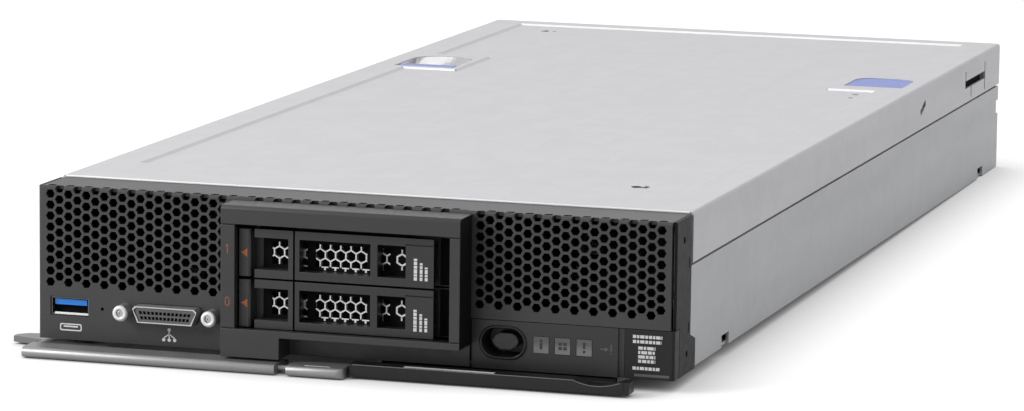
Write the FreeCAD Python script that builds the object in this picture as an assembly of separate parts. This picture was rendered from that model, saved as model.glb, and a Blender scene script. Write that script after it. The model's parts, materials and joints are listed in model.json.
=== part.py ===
import FreeCAD, Part
import math
import os

# Blade server, half-width node. Millimetres, X to the right seen from the front, Y to the rear, Z up.
# The origin is on the underside of the chassis, at mid-width, in the plane of the front panel.

V = FreeCAD.Vector

# Overall size
WIDTH = 215.0
DEPTH = 493.0
PANEL_DROP = 0.8

# Sheet metal
SHEET = 1.0
COVER_SHEET = 0.9
PANEL_SHEET = 1.2

# Clearances
SEAM = 0.2
LIFT_GAP = 0.3
SLIDE_GAP = 0.2
HINGE_GAP = 0.06

# Top cover
COVER_STEP = 0.7
COVER_MARGIN = 13.5
COVER_REAR_MARGIN = 9.0
COVER_FRONT_BAND = 34.0
COVER_BEND = 1.2
FLANGE_SEAM_Z = 33.1
FLANGE_SEAM = 0.8
PAD_FROM_REAR = 121.0
PAD_LENGTH = 42.0
LATCH_PAD_REACH = 35.0
LATCH_HOLE_WIDTH = 24.0
LATCH_HOLE_LENGTH = 34.0
LATCH_HOLE_INSET = 21.0
LATCH_HOLE_R = 11.0
LATCH_FROM_PAD = 3.0
PUSH_PAD_REACH = 32.0
PUSH_WIDTH = 22.6
PUSH_LENGTH = 26.0
PUSH_INSET = 17.2
PUSH_R = 7.0
PUSH_FROM_PAD = 10.0
DISH_CLEARANCE = 4.1
DISH_WALL = 0.8
COVER_LATCH_LENGTH = 8.6
COVER_LATCH_LIP = 7.2
COVER_LATCH_SOLE = 1.9
SIDE_WINDOW_LENGTH = 37.5
SIDE_WINDOW_HEIGHT = 3.0
SIDE_WINDOW_RISE = 5.6
SIDE_WINDOW_FROM_REAR = 28.0
SLIT = 1.3
SLIT_RISE = 3.8
SLIT_DROP = 4.5
SLIT_INSET = 10.5
DIAMOND_LENGTH = 7.4
DIAMOND_HEIGHT = 5.6
DIAMOND_WAIST_LENGTH = 9.0
DIAMOND_WAIST_HEIGHT = 1.0
DIAMOND_FROM_REAR = 141.5
DIAMOND_DROP = 8.6
KEYHOLE_FLATS = 3.2
KEYHOLE_SLOT = 1.4
KEYHOLE_LENGTH = 3.6
KEYHOLE_INSET = 29.5
KEYHOLE_FRONT = 47.6
KEYHOLE_REAR = 26.0

# Chassis
FRONT_PAN_LENGTH = 56.0
REAR_WINDOW_HEIGHT = 18.0
REAR_WINDOW_Z = 6.0
FOOT_NOTCH_LENGTH = 9.0
FOOT_NOTCH_HEIGHT = 4.0
FOOT_NOTCH_FROM_REAR = 38.0
FOOT_NOTCH_FROM_PAN = 1.5
REAR_NOTCH_DEPTH = 3.5
REAR_NOTCH_HEIGHT = 5.5
REAR_NOTCH_Z = 22.0

# Front panel and its honeycomb of flat-topped hexagons
FLANGE_DEPTH = 20.0
HEX_PITCH = 3.62
HEX_FLATS = 2.75
HEX_TOP = 2.6
LEFT_FIELD_INSET = 4.1
RIGHT_FIELD_GAP = 2.75
FIELD_END = 2.6
LEFT_FIELD_BOTTOM = 16.4
RIGHT_FIELD_RISE = 3.0
BEND_HOLE_DEPTH = 2.25
BEND_NOTCH = 0.7
BEND_CHAMFER = 0.8
RIGHT_PANEL_GAP = 1.4
PANEL_EDGE_R = 0.8

# Side brackets of the front panel
BRACKET_SETBACK = 1.8
BRACKET_SHORT = 1.5
BRACKET_FOOT_DEPTH = 24.5
BRACKET_FOOT_Z = 9.0
BRACKET_CHAMFER = 2.0
BRACKET_HOLE_R = 1.1
BRACKET_HIGH_HOLE_INSET = 8.6
BRACKET_HIGH_HOLE_DROP = 6.9
BRACKET_LOW_HOLE_INSET = 4.1
BRACKET_LOW_HOLE_Z = 5.6
RIVET_SLOT_REACH = 0.85
RIVET_SLOT_RISE = 1.7
RIVET_SLOT_INSET = 2.6
RIVET_SLOT_LOW = 13.9
RIVET_SLOT_HIGH = 34.7

# Drive-bay frame
FRAME_CENTRE_X = 0.3
FRAME_PROUD = 12.0
FRAME_LIP = 3.0
LEFT_POST = 4.8
RIGHT_POST = 3.45
TOP_BAR = 5.95
BOTTOM_BAR = 2.2
BOTTOM_BAR_Z = 6.6
FRAME_BEVEL = 1.0
BLOCK_WIDTH = 19.9
BLOCK_LIFT = 0.4
APRON = 1.2
LATCH_ROOM = 1.6
SILL_ROOM = 0.7
BAY_HEADROOM = 1.6
FRAME_BELOW_TOP = 0.9
SPLIT_LINE = 0.35
SPLIT_DEPTH = 0.5

# Drives
SLED_SPACE = 0.65
SLED_SIDE_GAP = 0.22
RAIL = 0.9
RAIL_HEIGHT = 9.0
DISK_WIDTH = 69.85
DISK_LENGTH = 100.2
DISK_HEIGHT = 14.8
DISK_MARGIN = 0.45
SLED_PLATE = 1.1
FACE_RECESS = 3.0
HANDLE_THICK = 4.4
HANDLE_BAR = 2.7
COMB_SHEET = 1.5
COMB_PITCH = 3.45
COMB_WEB = 0.45
COMB_LAP = 1.15
LATCH_WIDTH = 3.7
LATCH_CHAMFER = 0.6
LATCH_TO_BRIDGE = 1.6
BRIDGE_WIDTH = 13.0
BRIDGE_RIM = 1.6
HANDLE_SPLIT = 0.6
WINDOW_LEFT = 23.8
WINDOW_POST = 2.4
WINDOW_RIGHT = 9.4
HANDLE_END = 9.4
HANDLE_PIVOT_INSET = 2.0
TRUNNION_R = 0.9
KNUCKLE_R = 1.6
EAR_HEIGHT = 2.0
HANDLE_FACE = 1.5
END_LINE_DROP = 2.0

# Drive cage and backplane
CAGE_RELIEF = 0.2
CAGE_SHEET = 1.0
LEDGE_HEIGHT = 1.0
BACKPLANE = 1.6
BACKPLANE_FROM_REAR = 3.0
DRIVE_PLUG_WIDTH = 36.0
DRIVE_PLUG_HEIGHT = 5.0
DRIVE_PLUG_LENGTH = 9.0
DRIVE_PLUG_GAP = 0.3

# Operator panel and corner block
OPERATOR_TOP = 15.0
OPERATOR_FRONT = 2.0
OPERATOR_DEPTH = 12.0
CORNER_BLOCK_WIDTH = 16.2
CORNER_BAR_WIDTH = 2.0
CORNER_BAR_RECESS = 0.6
CORNER_WRAP = 5.6
CORNER_R = 1.0
BUTTON_FROM_LEFT = 10.5
BUTTON_Z = 8.0
BUTTON_WIDTH = 8.6
BUTTON_HEIGHT = 5.1
BUTTON_RECESS = 4.0
BUTTON_LENGTH = 5.0
BUTTON_STEM_WIDTH = 6.0
BUTTON_STEM_HEIGHT = 3.0
BUTTON_TRAVEL = 1.0
WELL_WIDTH = 13.8
WELL_HEIGHT = 9.0
RING_WALL = 0.9
RING_PROUD = 0.4
WINDOW_FROM_BUTTON = 12.6
WINDOW_PITCH = 7.1
WINDOW_COUNT = 3
WINDOW_WIDTH = 5.0
WINDOW_HEIGHT = 5.2
WINDOW_DEPTH = 1.4

# Front connectors
USB_INSET = 10.8
USB_WIDTH = 13.1
USB_HEIGHT = 5.8
USB_DEPTH = 14.0
USB_WALL = 0.35
USB_RECESS = 0.5
TONGUE_WIDTH = 11.1
TONGUE_THICK = 1.9
TONGUE_SETBACK = 1.2
PINHOLE_INSET = 22.2
PINHOLE_R = 0.6
CONSOLE_SHARE = 0.71948
CONSOLE_WIDTH = 22.2
CONSOLE_HEIGHT = 5.4
CONSOLE_TAPER = 1.8
CONSOLE_WALL = 0.4
CONSOLE_PROUD = 5.0
CONSOLE_DEPTH = 16.0
CONSOLE_RECESS = 0.8
SCREWLOCK_SPACING = 30.5
SCREWLOCK_R = 2.6
SCREWLOCK_HOLE_R = 1.25
SCREWLOCK_HOLE_DEPTH = 4.0
SCREWLOCK_PROUD = 5.0
FRONT_BOARD_TOP = 7.25
FRONT_BOARD_LENGTH = 34.0
FRONT_BOARD_MARGIN = 3.0

# Cam handle under the front panel
GRIP_TOP = -1.2
GRIP_HEIGHT = 3.5
GRIP_FRONT = -16.0
GRIP_DEPTH = 10.0
GRIP_INSET = 0.5
GRIP_LENGTH = 86.8
GRIP_GAP = 3.9
NOSE_FLAT = 0.05
GRIP_END_R = 3.0
HANDLE_LATCH_LENGTH = 19.2
HANDLE_LATCH_TRAVEL = 3.0
ROD_R = 1.0
ROD_LENGTH = 16.0
GROOVE_LENGTH = 9.0
GROOVE_WIDTH = 1.2
GROOVE_DEPTH = 0.5
LEVER_SHEET = 2.0
LEVER_RAIL = 4.0
LEVER_ARM = 14.0
PIVOT_INSET = 11.5
PIVOT_Y = 9.0
PIVOT_R = 3.0
PIVOT_FLATS = 9.0
PIVOT_HEAD = 0.6
HOOK_REACH = 11.5
HOOK_WIDTH = 6.0

# Pull-out label tray
TRAY_GAP = 0.9
TRAY_RIGHT_INSET = 13.0
TRAY_LIP_FRONT = -12.0
TRAY_LIP_DEPTH = 6.0
TRAY_LIP_TOP = 0.0
TRAY_LIP_HEIGHT = 4.0
TRAY_CORNER = 1.5
TRAY_CARD_TOP = -1.2
TRAY_CARD = 1.2
TRAY_CARD_LENGTH = 54.0
TRAY_CARD_INSET = 6.4
SCOOP_WIDTH = 15.6
SCOOP_DEPTH = 1.5
SCOOP_INSET = 1.1
GUIDE_WALL = 1.2
GUIDE_FOOT = 1.6
GUIDE_SHEET = 0.8
GUIDE_LENGTH = 46.0

# System board and what stands on it
STANDOFF = 4.0
STANDOFF_FLATS = 5.0
BOARD = 1.6
BOARD_MARGIN = 2.0
BOARD_FRONT_GAP = 2.0
BOARD_REAR_GAP = 4.0
ROW_GAP = 4.0
DIMM_SOCKET_WIDTH = 6.4
DIMM_SOCKET_HEIGHT = 8.0
DIMM_PITCH = 8.0
DIMM_SLOTS = 6
DIMM_INSET = 15.5
EJECTOR_LENGTH = 4.0
EJECTOR_HEIGHT = 20.0
EJECTOR_FOOT = 0.1
MODULE_LENGTH = 133.35
MODULE_HEIGHT = 30.0
MODULE_SHEET = 1.3
MODULE_SEAT = 4.0
SOCKET_RIM = 6.0
SOCKET_HEIGHT = 4.0
PROCESSOR_LENGTH = 45.0
PROCESSOR_WIDTH = 40.0
PROCESSOR_HEIGHT = 3.0
SINK_LENGTH = 96.0
SINK_BASE = 4.0
SINK_GAP = 6.7
SINK_HEADROOM = 2.0
FIN = 0.9
FIN_PITCH = 5.5
SINK_SCREW_INSET = 5.0
SINK_SCREW_FLATS = 6.0
SINK_SCREW_HEAD = 2.5
SINK_CORNER = 10.0
CHIPSET_SIZE = 34.0
CHIPSET_HEIGHT = 12.0
CHIPSET_FIN = 1.6
CHIPSET_FIN_PITCH = 5.0
CELL_R = 10.0
CELL_HEIGHT = 3.2
HOLDER_WALL = 1.6
HOLDER_FLOOR = 1.2
HOLDER_HEIGHT = 4.0

# Rear adapters and connectors
ADAPTER_GAP = 10.0
ADAPTER_SIDE = 6.0
ADAPTER_STANDOFF = 17.0
ADAPTER_BOARD = 1.6
MEZZANINE_WIDTH = 40.0
MEZZANINE_DEPTH = 8.0
ADAPTER_CHIP = 22.0
ADAPTER_CHIP_HEIGHT = 8.0
FABRIC_WIDTH = 44.0
FABRIC_DEPTH = 18.0
FABRIC_HEIGHT = 13.9
POWER_WIDTH = 34.0
POWER_DEPTH = 22.0
POWER_HEIGHT = 13.0
BLADE_SLOTS = 5
BLADE_SLOT = 2.0
BLADE_DEPTH = 9.0
BLADE_WALL = 2.6

# Main levels and places that follow from the sizes above
HALF = WIDTH / 2
PANEL_BOTTOM = -PANEL_DROP
SLED_HEIGHT = DISK_HEIGHT + 2 * DISK_MARGIN
BAY_BOTTOM = BOTTOM_BAR_Z + BOTTOM_BAR
SLED_Z = [BAY_BOTTOM + SLIDE_GAP, BAY_BOTTOM + SLIDE_GAP + SLED_HEIGHT + SLED_SPACE]
BAY_TOP = SLED_Z[1] + SLED_HEIGHT + BAY_HEADROOM
FRAME_TOP = BAY_TOP + TOP_BAR
PANEL_TOP = FRAME_TOP + FRAME_BELOW_TOP
COVER_TOP = PANEL_TOP + COVER_STEP
CENTRE_TOP = PANEL_TOP
COVER_UNDER = CENTRE_TOP - COVER_SHEET
FLANGE_UNDER = PANEL_TOP - PANEL_SHEET
BRACKET_DEPTH = FLANGE_DEPTH - BRACKET_SHORT
COVER_FRONT = FLANGE_DEPTH + 2 * SEAM
PAD_REAR = DEPTH - PAD_FROM_REAR
PAD_FRONT = PAD_REAR - PAD_LENGTH
CHASSIS_REAR = DEPTH - COVER_SHEET - LIFT_GAP
WALL_INNER = HALF - SHEET
UPPER_WALL_OUTER = HALF - COVER_SHEET - LIFT_GAP
UPPER_WALL_INNER = UPPER_WALL_OUTER - SHEET
WALL_TOP = COVER_TOP - COVER_SHEET
PAN_FRONT = OPERATOR_FRONT + SEAM
HEX_COLUMN = HEX_PITCH * math.sqrt(3) / 2
HEX_SIDE = HEX_FLATS / math.sqrt(3)
RIGHT_PANEL_EDGE = HALF - RIGHT_PANEL_GAP

BAY_WIDTH = DISK_WIDTH + 2 * (RAIL + SLED_SIDE_GAP)
FRAME_WIDTH = LEFT_POST + BAY_WIDTH + RIGHT_POST
FRAME_LEFT = FRAME_CENTRE_X - FRAME_WIDTH / 2
FRAME_RIGHT = FRAME_CENTRE_X + FRAME_WIDTH / 2
BAY_LEFT = FRAME_LEFT + LEFT_POST
BAY_RIGHT = FRAME_RIGHT - RIGHT_POST
FACE_Y = FACE_RECESS - FRAME_PROUD
CAGE_LEFT = BAY_LEFT - CAGE_RELIEF - CAGE_SHEET
CAGE_RIGHT = BAY_RIGHT + CAGE_RELIEF + CAGE_SHEET
CAGE_BOTTOM = BAY_BOTTOM - CAGE_RELIEF - CAGE_SHEET
CAGE_TOP = BAY_TOP + CAGE_RELIEF + CAGE_SHEET
OPENING_LEFT = CAGE_LEFT - SEAM
OPENING_RIGHT = CAGE_RIGHT + SEAM
OPENING_TOP = CAGE_TOP + SEAM

SLED_LEFT = BAY_LEFT + SLED_SIDE_GAP
SLED_RIGHT = BAY_RIGHT - SLED_SIDE_GAP
COMB_Y = FACE_Y + HANDLE_THICK + SLIDE_GAP
PLATE_Y = COMB_Y + COMB_SHEET
DRIVE_LATCH_LEFT = SLED_LEFT + SLIDE_GAP
BRIDGE_LEFT = DRIVE_LATCH_LEFT + LATCH_WIDTH + LATCH_TO_BRIDGE
BRIDGE_RIGHT = BRIDGE_LEFT + BRIDGE_WIDTH
HANDLE_LEFT = BRIDGE_RIGHT + HANDLE_SPLIT
WINDOW_FIRST = HANDLE_LEFT + BRIDGE_RIM
WINDOW_SECOND = WINDOW_FIRST + WINDOW_LEFT + WINDOW_POST
HANDLE_RIGHT = WINDOW_SECOND + WINDOW_RIGHT + HANDLE_END
PIVOT_X = HANDLE_RIGHT - HANDLE_PIVOT_INSET
PIVOT_DEPTH = FACE_Y + HANDLE_FACE + SLIDE_GAP + KNUCKLE_R
COMB_LEFT = BRIDGE_LEFT + BRIDGE_RIM
COMB_RIGHT = WINDOW_SECOND + WINDOW_RIGHT + BRIDGE_RIM
DISK_FRONT = PLATE_Y + SLED_PLATE
DISK_REAR = DISK_FRONT + DISK_LENGTH
BACKPLANE_FRONT = DISK_REAR + DRIVE_PLUG_GAP + DRIVE_PLUG_LENGTH
CAGE_DEPTH = BACKPLANE_FRONT + BACKPLANE + BACKPLANE_FROM_REAR

CORNER_LEFT = HALF - CORNER_BLOCK_WIDTH
OPERATOR_LEFT = FRAME_RIGHT + SEAM
OPERATOR_RIGHT = CORNER_LEFT - SEAM
BUTTON_X = OPERATOR_LEFT + BUTTON_FROM_LEFT
USB_X = -HALF + USB_INSET
USB_Z = FRONT_BOARD_TOP + USB_HEIGHT / 2
# The console stands between the USB socket and the drive frame, with this share of the spare room on its left
USB_RIGHT = USB_X + USB_WIDTH / 2
CONSOLE_SPAN = SCREWLOCK_SPACING + 2 * SCREWLOCK_R
CONSOLE_ROOM = FRAME_LEFT - USB_RIGHT - CONSOLE_SPAN
CONSOLE_X = USB_RIGHT + CONSOLE_ROOM * CONSOLE_SHARE + CONSOLE_SPAN / 2
CONSOLE_Z = FRONT_BOARD_TOP + CONSOLE_HEIGHT / 2
FRONT_BOARD_UNDER = FRONT_BOARD_TOP - BOARD

GRIP_BOTTOM = GRIP_TOP - GRIP_HEIGHT
GRIP_REAR = GRIP_FRONT + GRIP_DEPTH
GRIP_LEFT = -HALF + GRIP_INSET
GRIP_RIGHT = GRIP_LEFT + GRIP_LENGTH
HANDLE_LATCH_LEFT = GRIP_RIGHT + GRIP_GAP
HANDLE_LATCH_RIGHT = HANDLE_LATCH_LEFT + HANDLE_LATCH_LENGTH
ROD_Y = GRIP_FRONT + GRIP_DEPTH / 2
ROD_Z = GRIP_TOP - GRIP_HEIGHT / 2
LEVER_TOP = ROD_Z + LEVER_SHEET / 2
LEVER_BOTTOM = LEVER_TOP - LEVER_SHEET
HANDLE_PIVOT_X = -HALF + PIVOT_INSET

TRAY_LEFT = HANDLE_LATCH_RIGHT + TRAY_GAP
TRAY_RIGHT = HALF - TRAY_RIGHT_INSET
CARD_LEFT = TRAY_LEFT + TRAY_CARD_INSET
CARD_RIGHT = TRAY_RIGHT - TRAY_CARD_INSET
TRAY_LIP_REAR = TRAY_LIP_FRONT + TRAY_LIP_DEPTH
CARD_UNDER = TRAY_CARD_TOP - TRAY_CARD

DIMM_SOCKET_LENGTH = MODULE_LENGTH + 2 * (SEAM + EJECTOR_LENGTH + EJECTOR_FOOT)
SOCKET_LENGTH = PROCESSOR_LENGTH + 2 * SOCKET_RIM
SOCKET_WIDTH = PROCESSOR_WIDTH + 2 * SOCKET_RIM
BOARD_UNDER = SHEET + STANDOFF
BOARD_TOP = BOARD_UNDER + BOARD
BOARD_HALF = UPPER_WALL_INNER - BOARD_MARGIN
BOARD_FRONT = CAGE_DEPTH + BOARD_FRONT_GAP
BOARD_REAR = CHASSIS_REAR - SHEET - BOARD_REAR_GAP
ROW_Y = [BOARD_FRONT + ROW_GAP + DIMM_SOCKET_LENGTH / 2]
ROW_Y.append(ROW_Y[0] + DIMM_SOCKET_LENGTH + ROW_GAP)
BANK_INNER = HALF - DIMM_INSET - (DIMM_SLOTS - 1) * DIMM_PITCH - DIMM_SOCKET_WIDTH / 2
SINK_HALF = BANK_INNER - SINK_GAP
MODULE_TOP = BOARD_TOP + MODULE_SEAT + MODULE_HEIGHT
DISH_FLOOR = MODULE_TOP + DISH_CLEARANCE
PROCESSOR_TOP = BOARD_TOP + SOCKET_HEIGHT + PROCESSOR_HEIGHT
SINK_TOP = COVER_UNDER - SINK_HEADROOM
ADAPTER_FRONT = ROW_Y[1] + DIMM_SOCKET_LENGTH / 2 + ROW_GAP
ADAPTER_UNDER = BOARD_TOP + ADAPTER_STANDOFF
ADAPTER_WIDTH = BOARD_HALF - ADAPTER_SIDE - ADAPTER_GAP
FABRIC_X = ADAPTER_GAP + ADAPTER_WIDTH / 2
REAR_INSIDE = CHASSIS_REAR - SHEET


def box(x0, x1, y0, y1, z0, z1):
    return Part.makeBox(x1 - x0, y1 - y0, z1 - z0, V(x0, y0, z0))


def face(points):
    return Part.Face(Part.makePolygon(points + points[:1]))


def prism_y(points, y0, y1):
    """Extrude an (x, z) outline from y0 to y1."""
    return face([V(x, y0, z) for x, z in points]).extrude(V(0, y1 - y0, 0))


def prism_x(points, x0, x1):
    """Extrude a (y, z) outline from x0 to x1."""
    return face([V(x0, y, z) for y, z in points]).extrude(V(x1 - x0, 0, 0))


def prism_z(points, z0, z1):
    """Extrude an (x, y) outline from z0 to z1."""
    return face([V(x, y, z0) for x, y in points]).extrude(V(0, 0, z1 - z0))


def stadium_y(x, z, width, height, y0, y1):
    """A slot-shaped bar along Y, rounded at its left and right ends."""
    r = height / 2
    reach = width / 2 - r
    top = Part.makeLine(V(x - reach, y0, z + r), V(x + reach, y0, z + r))
    right = Part.Arc(V(x + reach, y0, z + r), V(x + reach + r, y0, z), V(x + reach, y0, z - r)).toShape()
    bottom = Part.makeLine(V(x + reach, y0, z - r), V(x - reach, y0, z - r))
    left = Part.Arc(V(x - reach, y0, z - r), V(x - reach - r, y0, z), V(x - reach, y0, z + r)).toShape()
    return Part.Face(Part.Wire([top, right, bottom, left])).extrude(V(0, y1 - y0, 0))


def d_slab(place, r, shrink, z0, z1):
    """A slab with a straight front edge and rounded rear corners that fits a place, smaller all round."""
    x0, x1, y0, y1 = place
    body = box(x0 + shrink, x1 - shrink, y0 + shrink, y1 - shrink, z0, z1)
    corners = [e for e in body.Edges if e.BoundBox.YMin > y1 - shrink - SEAM and e.BoundBox.ZLength > SEAM]
    return body.makeFillet(r - shrink, corners)


def hexagon(x, z, side):
    """Corners of a hexagon with a corner to the left and one to the right."""
    return [(x + side * math.cos(math.pi * k / 3), z + side * math.sin(math.pi * k / 3)) for k in range(6)]


def hex_prism_z(x, y, flats, z0, z1):
    return prism_z(hexagon(x, y, flats / math.sqrt(3)), z0, z1)


def octagon(x, y, reach, rise):
    """Corners of an octagon that touches a box of half-sizes reach and rise."""
    grow = 1 / math.cos(math.pi / 8)
    turns = [math.pi * (k + 0.5) / 4 for k in range(8)]
    return [(x + grow * reach * math.cos(t), y + grow * rise * math.sin(t)) for t in turns]


def pierced_plate(outline, holes, y0, y1):
    """A plate in the XZ plane with polygonal holes."""
    rings = [[V(x, y0, z) for x, z in ring] for ring in [outline] + holes]
    wires = [Part.makePolygon(ring + ring[:1]) for ring in rings]
    return Part.Face(wires, "Part::FaceMakerBullseye").extrude(V(0, y1 - y0, 0))


def fuse(first, *others):
    return first.multiFuse(list(others)).removeSplitter()


def mirror_x(shape):
    return shape.mirror(V(0, 0, 0), V(1, 0, 0))


def save(name, *solids):
    shape = solids[0] if len(solids) == 1 else Part.makeCompound(list(solids))
    shape.exportStep(f"parts/{name}.step")


def side_outline(front, foot, chamfer_z, gap, bottom, top, start):
    """Outline in (y, z) of a side plate whose rear edge steps back over its foot."""
    return [
        (start, bottom),
        (foot + gap, bottom),
        (foot + gap, chamfer_z),
        (front + gap, chamfer_z + BRACKET_CHAMFER),
        (front + gap, top),
        (start, top),
    ]


def chassis_tray():
    section = [
        (HALF, 0),
        (HALF, FLANGE_SEAM_Z),
        (UPPER_WALL_OUTER, FLANGE_SEAM_Z),
        (UPPER_WALL_OUTER, WALL_TOP),
        (UPPER_WALL_INNER, WALL_TOP),
        (UPPER_WALL_INNER, FLANGE_SEAM_Z - SHEET),
        (WALL_INNER, FLANGE_SEAM_Z - SHEET),
        (WALL_INNER, SHEET),
    ]
    outline = section + [(-x, z) for x, z in reversed(section)]
    tray = prism_y(outline, FRONT_PAN_LENGTH, CHASSIS_REAR)
    wall_front = side_outline(BRACKET_DEPTH, BRACKET_FOOT_DEPTH, BRACKET_FOOT_Z, SEAM, 0, FLANGE_SEAM_Z, 0)
    behind_bracket = wall_front[1:5]
    lower = [(FRONT_PAN_LENGTH, 0), (FRONT_PAN_LENGTH, FLANGE_SEAM_Z)] + behind_bracket[::-1]
    wall = prism_x(lower, WALL_INNER, HALF)
    tab_start = CORNER_WRAP + LIFT_GAP
    tab = box(UPPER_WALL_INNER, WALL_INNER, tab_start, FRONT_PAN_LENGTH, SHEET + SEAM, FLANGE_SEAM_Z)
    upper = box(UPPER_WALL_INNER, UPPER_WALL_OUTER, COVER_FRONT, FRONT_PAN_LENGTH, FLANGE_SEAM_Z, WALL_TOP)
    rib = box(UPPER_WALL_INNER, UPPER_WALL_OUTER, tab_start, COVER_FRONT, FLANGE_SEAM_Z, FLANGE_UNDER - SEAM)
    side = [wall, tab, upper, rib]
    rear = box(-WALL_INNER, WALL_INNER, REAR_INSIDE, CHASSIS_REAR, SHEET, FLANGE_SEAM_Z - SHEET)
    for x, width in rear_windows():
        low = REAR_WINDOW_Z
        high = low + REAR_WINDOW_HEIGHT
        rear = rear.cut(box(x - width / 2, x + width / 2, REAR_INSIDE, CHASSIS_REAR, low, high))
    tray = fuse(tray, rear, *side, *[mirror_x(piece) for piece in side])
    for piece in chassis_cuts():
        tray = tray.cut(piece).cut(mirror_x(piece))
    return tray


def chassis_cuts():
    """Openings in the right-hand wall: two foot notches, a rear notch and a room behind the latch window."""
    cuts = []
    for y in (FRONT_PAN_LENGTH + FOOT_NOTCH_FROM_PAN, DEPTH - FOOT_NOTCH_FROM_REAR):
        cuts.append(box(WALL_INNER, HALF, y, y + FOOT_NOTCH_LENGTH, 0, FOOT_NOTCH_HEIGHT))
    cuts.append(box(WALL_INNER, HALF, CHASSIS_REAR - REAR_NOTCH_DEPTH, CHASSIS_REAR,
                    REAR_NOTCH_Z, REAR_NOTCH_Z + REAR_NOTCH_HEIGHT))
    y0, y1, z0, z1 = side_window_place()
    cuts.append(box(UPPER_WALL_INNER, UPPER_WALL_OUTER, y0, y1, z0 - SLIT_DROP, z1 + SLIT_RISE))
    return cuts


def rear_windows():
    """Centre and width of each opening in the rear wall."""
    fabric = FABRIC_WIDTH + 2 * SEAM
    return [(-FABRIC_X, fabric), (0, POWER_WIDTH + 2 * SEAM), (FABRIC_X, fabric)]


def front_pan():
    edge = UPPER_WALL_INNER - SEAM
    pan = box(-edge, edge, PAN_FRONT, FRONT_PAN_LENGTH, 0, SHEET)
    pivot = Part.makeCylinder(PIVOT_R, SHEET, V(HANDLE_PIVOT_X, PIVOT_Y, 0))
    return pan.cut(pivot)


def columns(first, last):
    """X of each honeycomb column from first up to last."""
    count = int((last - first) / HEX_COLUMN + 1)
    return [first + k * HEX_COLUMN for k in range(count)]


def left_columns():
    return columns(-HALF + LEFT_FIELD_INSET, FRAME_LEFT - FIELD_END)


def right_columns():
    return columns(FRAME_RIGHT + RIGHT_FIELD_GAP, RIGHT_PANEL_EDGE - FIELD_END)


def middle_columns():
    step = left_columns()[-1] + HEX_COLUMN
    return columns(step, right_columns()[0] - HEX_COLUMN)


def honeycomb(xs, odd_first, bottom):
    """Hexagons of one field: alternate columns are shifted by half a pitch."""
    rings = []
    for k, x in enumerate(xs):
        shifted = (k % 2 == 0) == odd_first
        z = PANEL_TOP - HEX_TOP - (HEX_PITCH / 2 if shifted else 0)
        while z - HEX_FLATS / 2 > bottom:
            rings.append(hexagon(x, z, HEX_SIDE))
            z -= HEX_PITCH
    return rings


def notched_top(xs, odd_first, left, right):
    """Points along a plate's top edge from left to right, dipping into the holes cut by the bend."""
    centre = PANEL_TOP - HEX_TOP + HEX_PITCH / 2
    low = centre - HEX_FLATS / 2
    mouth = HEX_SIDE - (PANEL_TOP - centre) / math.sqrt(3)
    half = [(mouth, PANEL_TOP), (HEX_SIDE, centre), (HEX_SIDE / 2, low)]
    points = []
    for k, x in enumerate(xs):
        inside = left < x - HEX_SIDE and x + HEX_SIDE < right
        if inside and (k % 2 == 0) == odd_first:
            points += [(x - dx, z) for dx, z in half] + [(x + dx, z) for dx, z in reversed(half)]
    return points


def bend(plate, left, right):
    """Slope the top front edge of a panel plate, where the sheet turns back into the flange."""
    slope = [(0, PANEL_TOP), (0, PANEL_TOP - BEND_CHAMFER), (BEND_CHAMFER, PANEL_TOP)]
    return plate.cut(prism_x(slope, left, right))


def grille_left():
    top = notched_top(left_columns(), False, -HALF, OPENING_LEFT)
    outline = [(OPENING_LEFT, PANEL_BOTTOM), (-HALF, PANEL_BOTTOM), (-HALF, PANEL_TOP)]
    outline += top + [(OPENING_LEFT, PANEL_TOP)]
    plate = pierced_plate(outline, honeycomb(left_columns(), False, LEFT_FIELD_BOTTOM), 0, PANEL_SHEET)
    edge = [e for e in plate.Edges if e.BoundBox.XMax < -HALF + SEAM and e.BoundBox.YMax < SEAM]
    plate = plate.makeFillet(PANEL_EDGE_R, edge)
    half_w = USB_WIDTH / 2 + SEAM
    half_h = USB_HEIGHT / 2 + SEAM
    plate = plate.cut(box(USB_X - half_w, USB_X + half_w, 0, PANEL_SHEET, USB_Z - half_h, USB_Z + half_h))
    plate = plate.cut(prism_y(console_outline(SEAM), 0, PANEL_SHEET))
    plate = plate.cut(prism_y(hexagon(-HALF + PINHOLE_INSET, CONSOLE_Z, PINHOLE_R), 0, PANEL_SHEET))
    return bend(plate, -HALF, OPENING_LEFT)


def grille_right():
    bottom = OPERATOR_TOP + SEAM
    outline = [(RIGHT_PANEL_EDGE, bottom), (OPENING_RIGHT, bottom), (OPENING_RIGHT, PANEL_TOP)]
    outline += notched_top(right_columns(), True, OPENING_RIGHT, RIGHT_PANEL_EDGE)
    outline.append((RIGHT_PANEL_EDGE, PANEL_TOP))
    field_bottom = OPERATOR_TOP + RIGHT_FIELD_RISE
    plate = pierced_plate(outline, honeycomb(right_columns(), True, field_bottom), 0, PANEL_SHEET)
    return bend(plate, OPENING_RIGHT, RIGHT_PANEL_EDGE)


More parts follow.
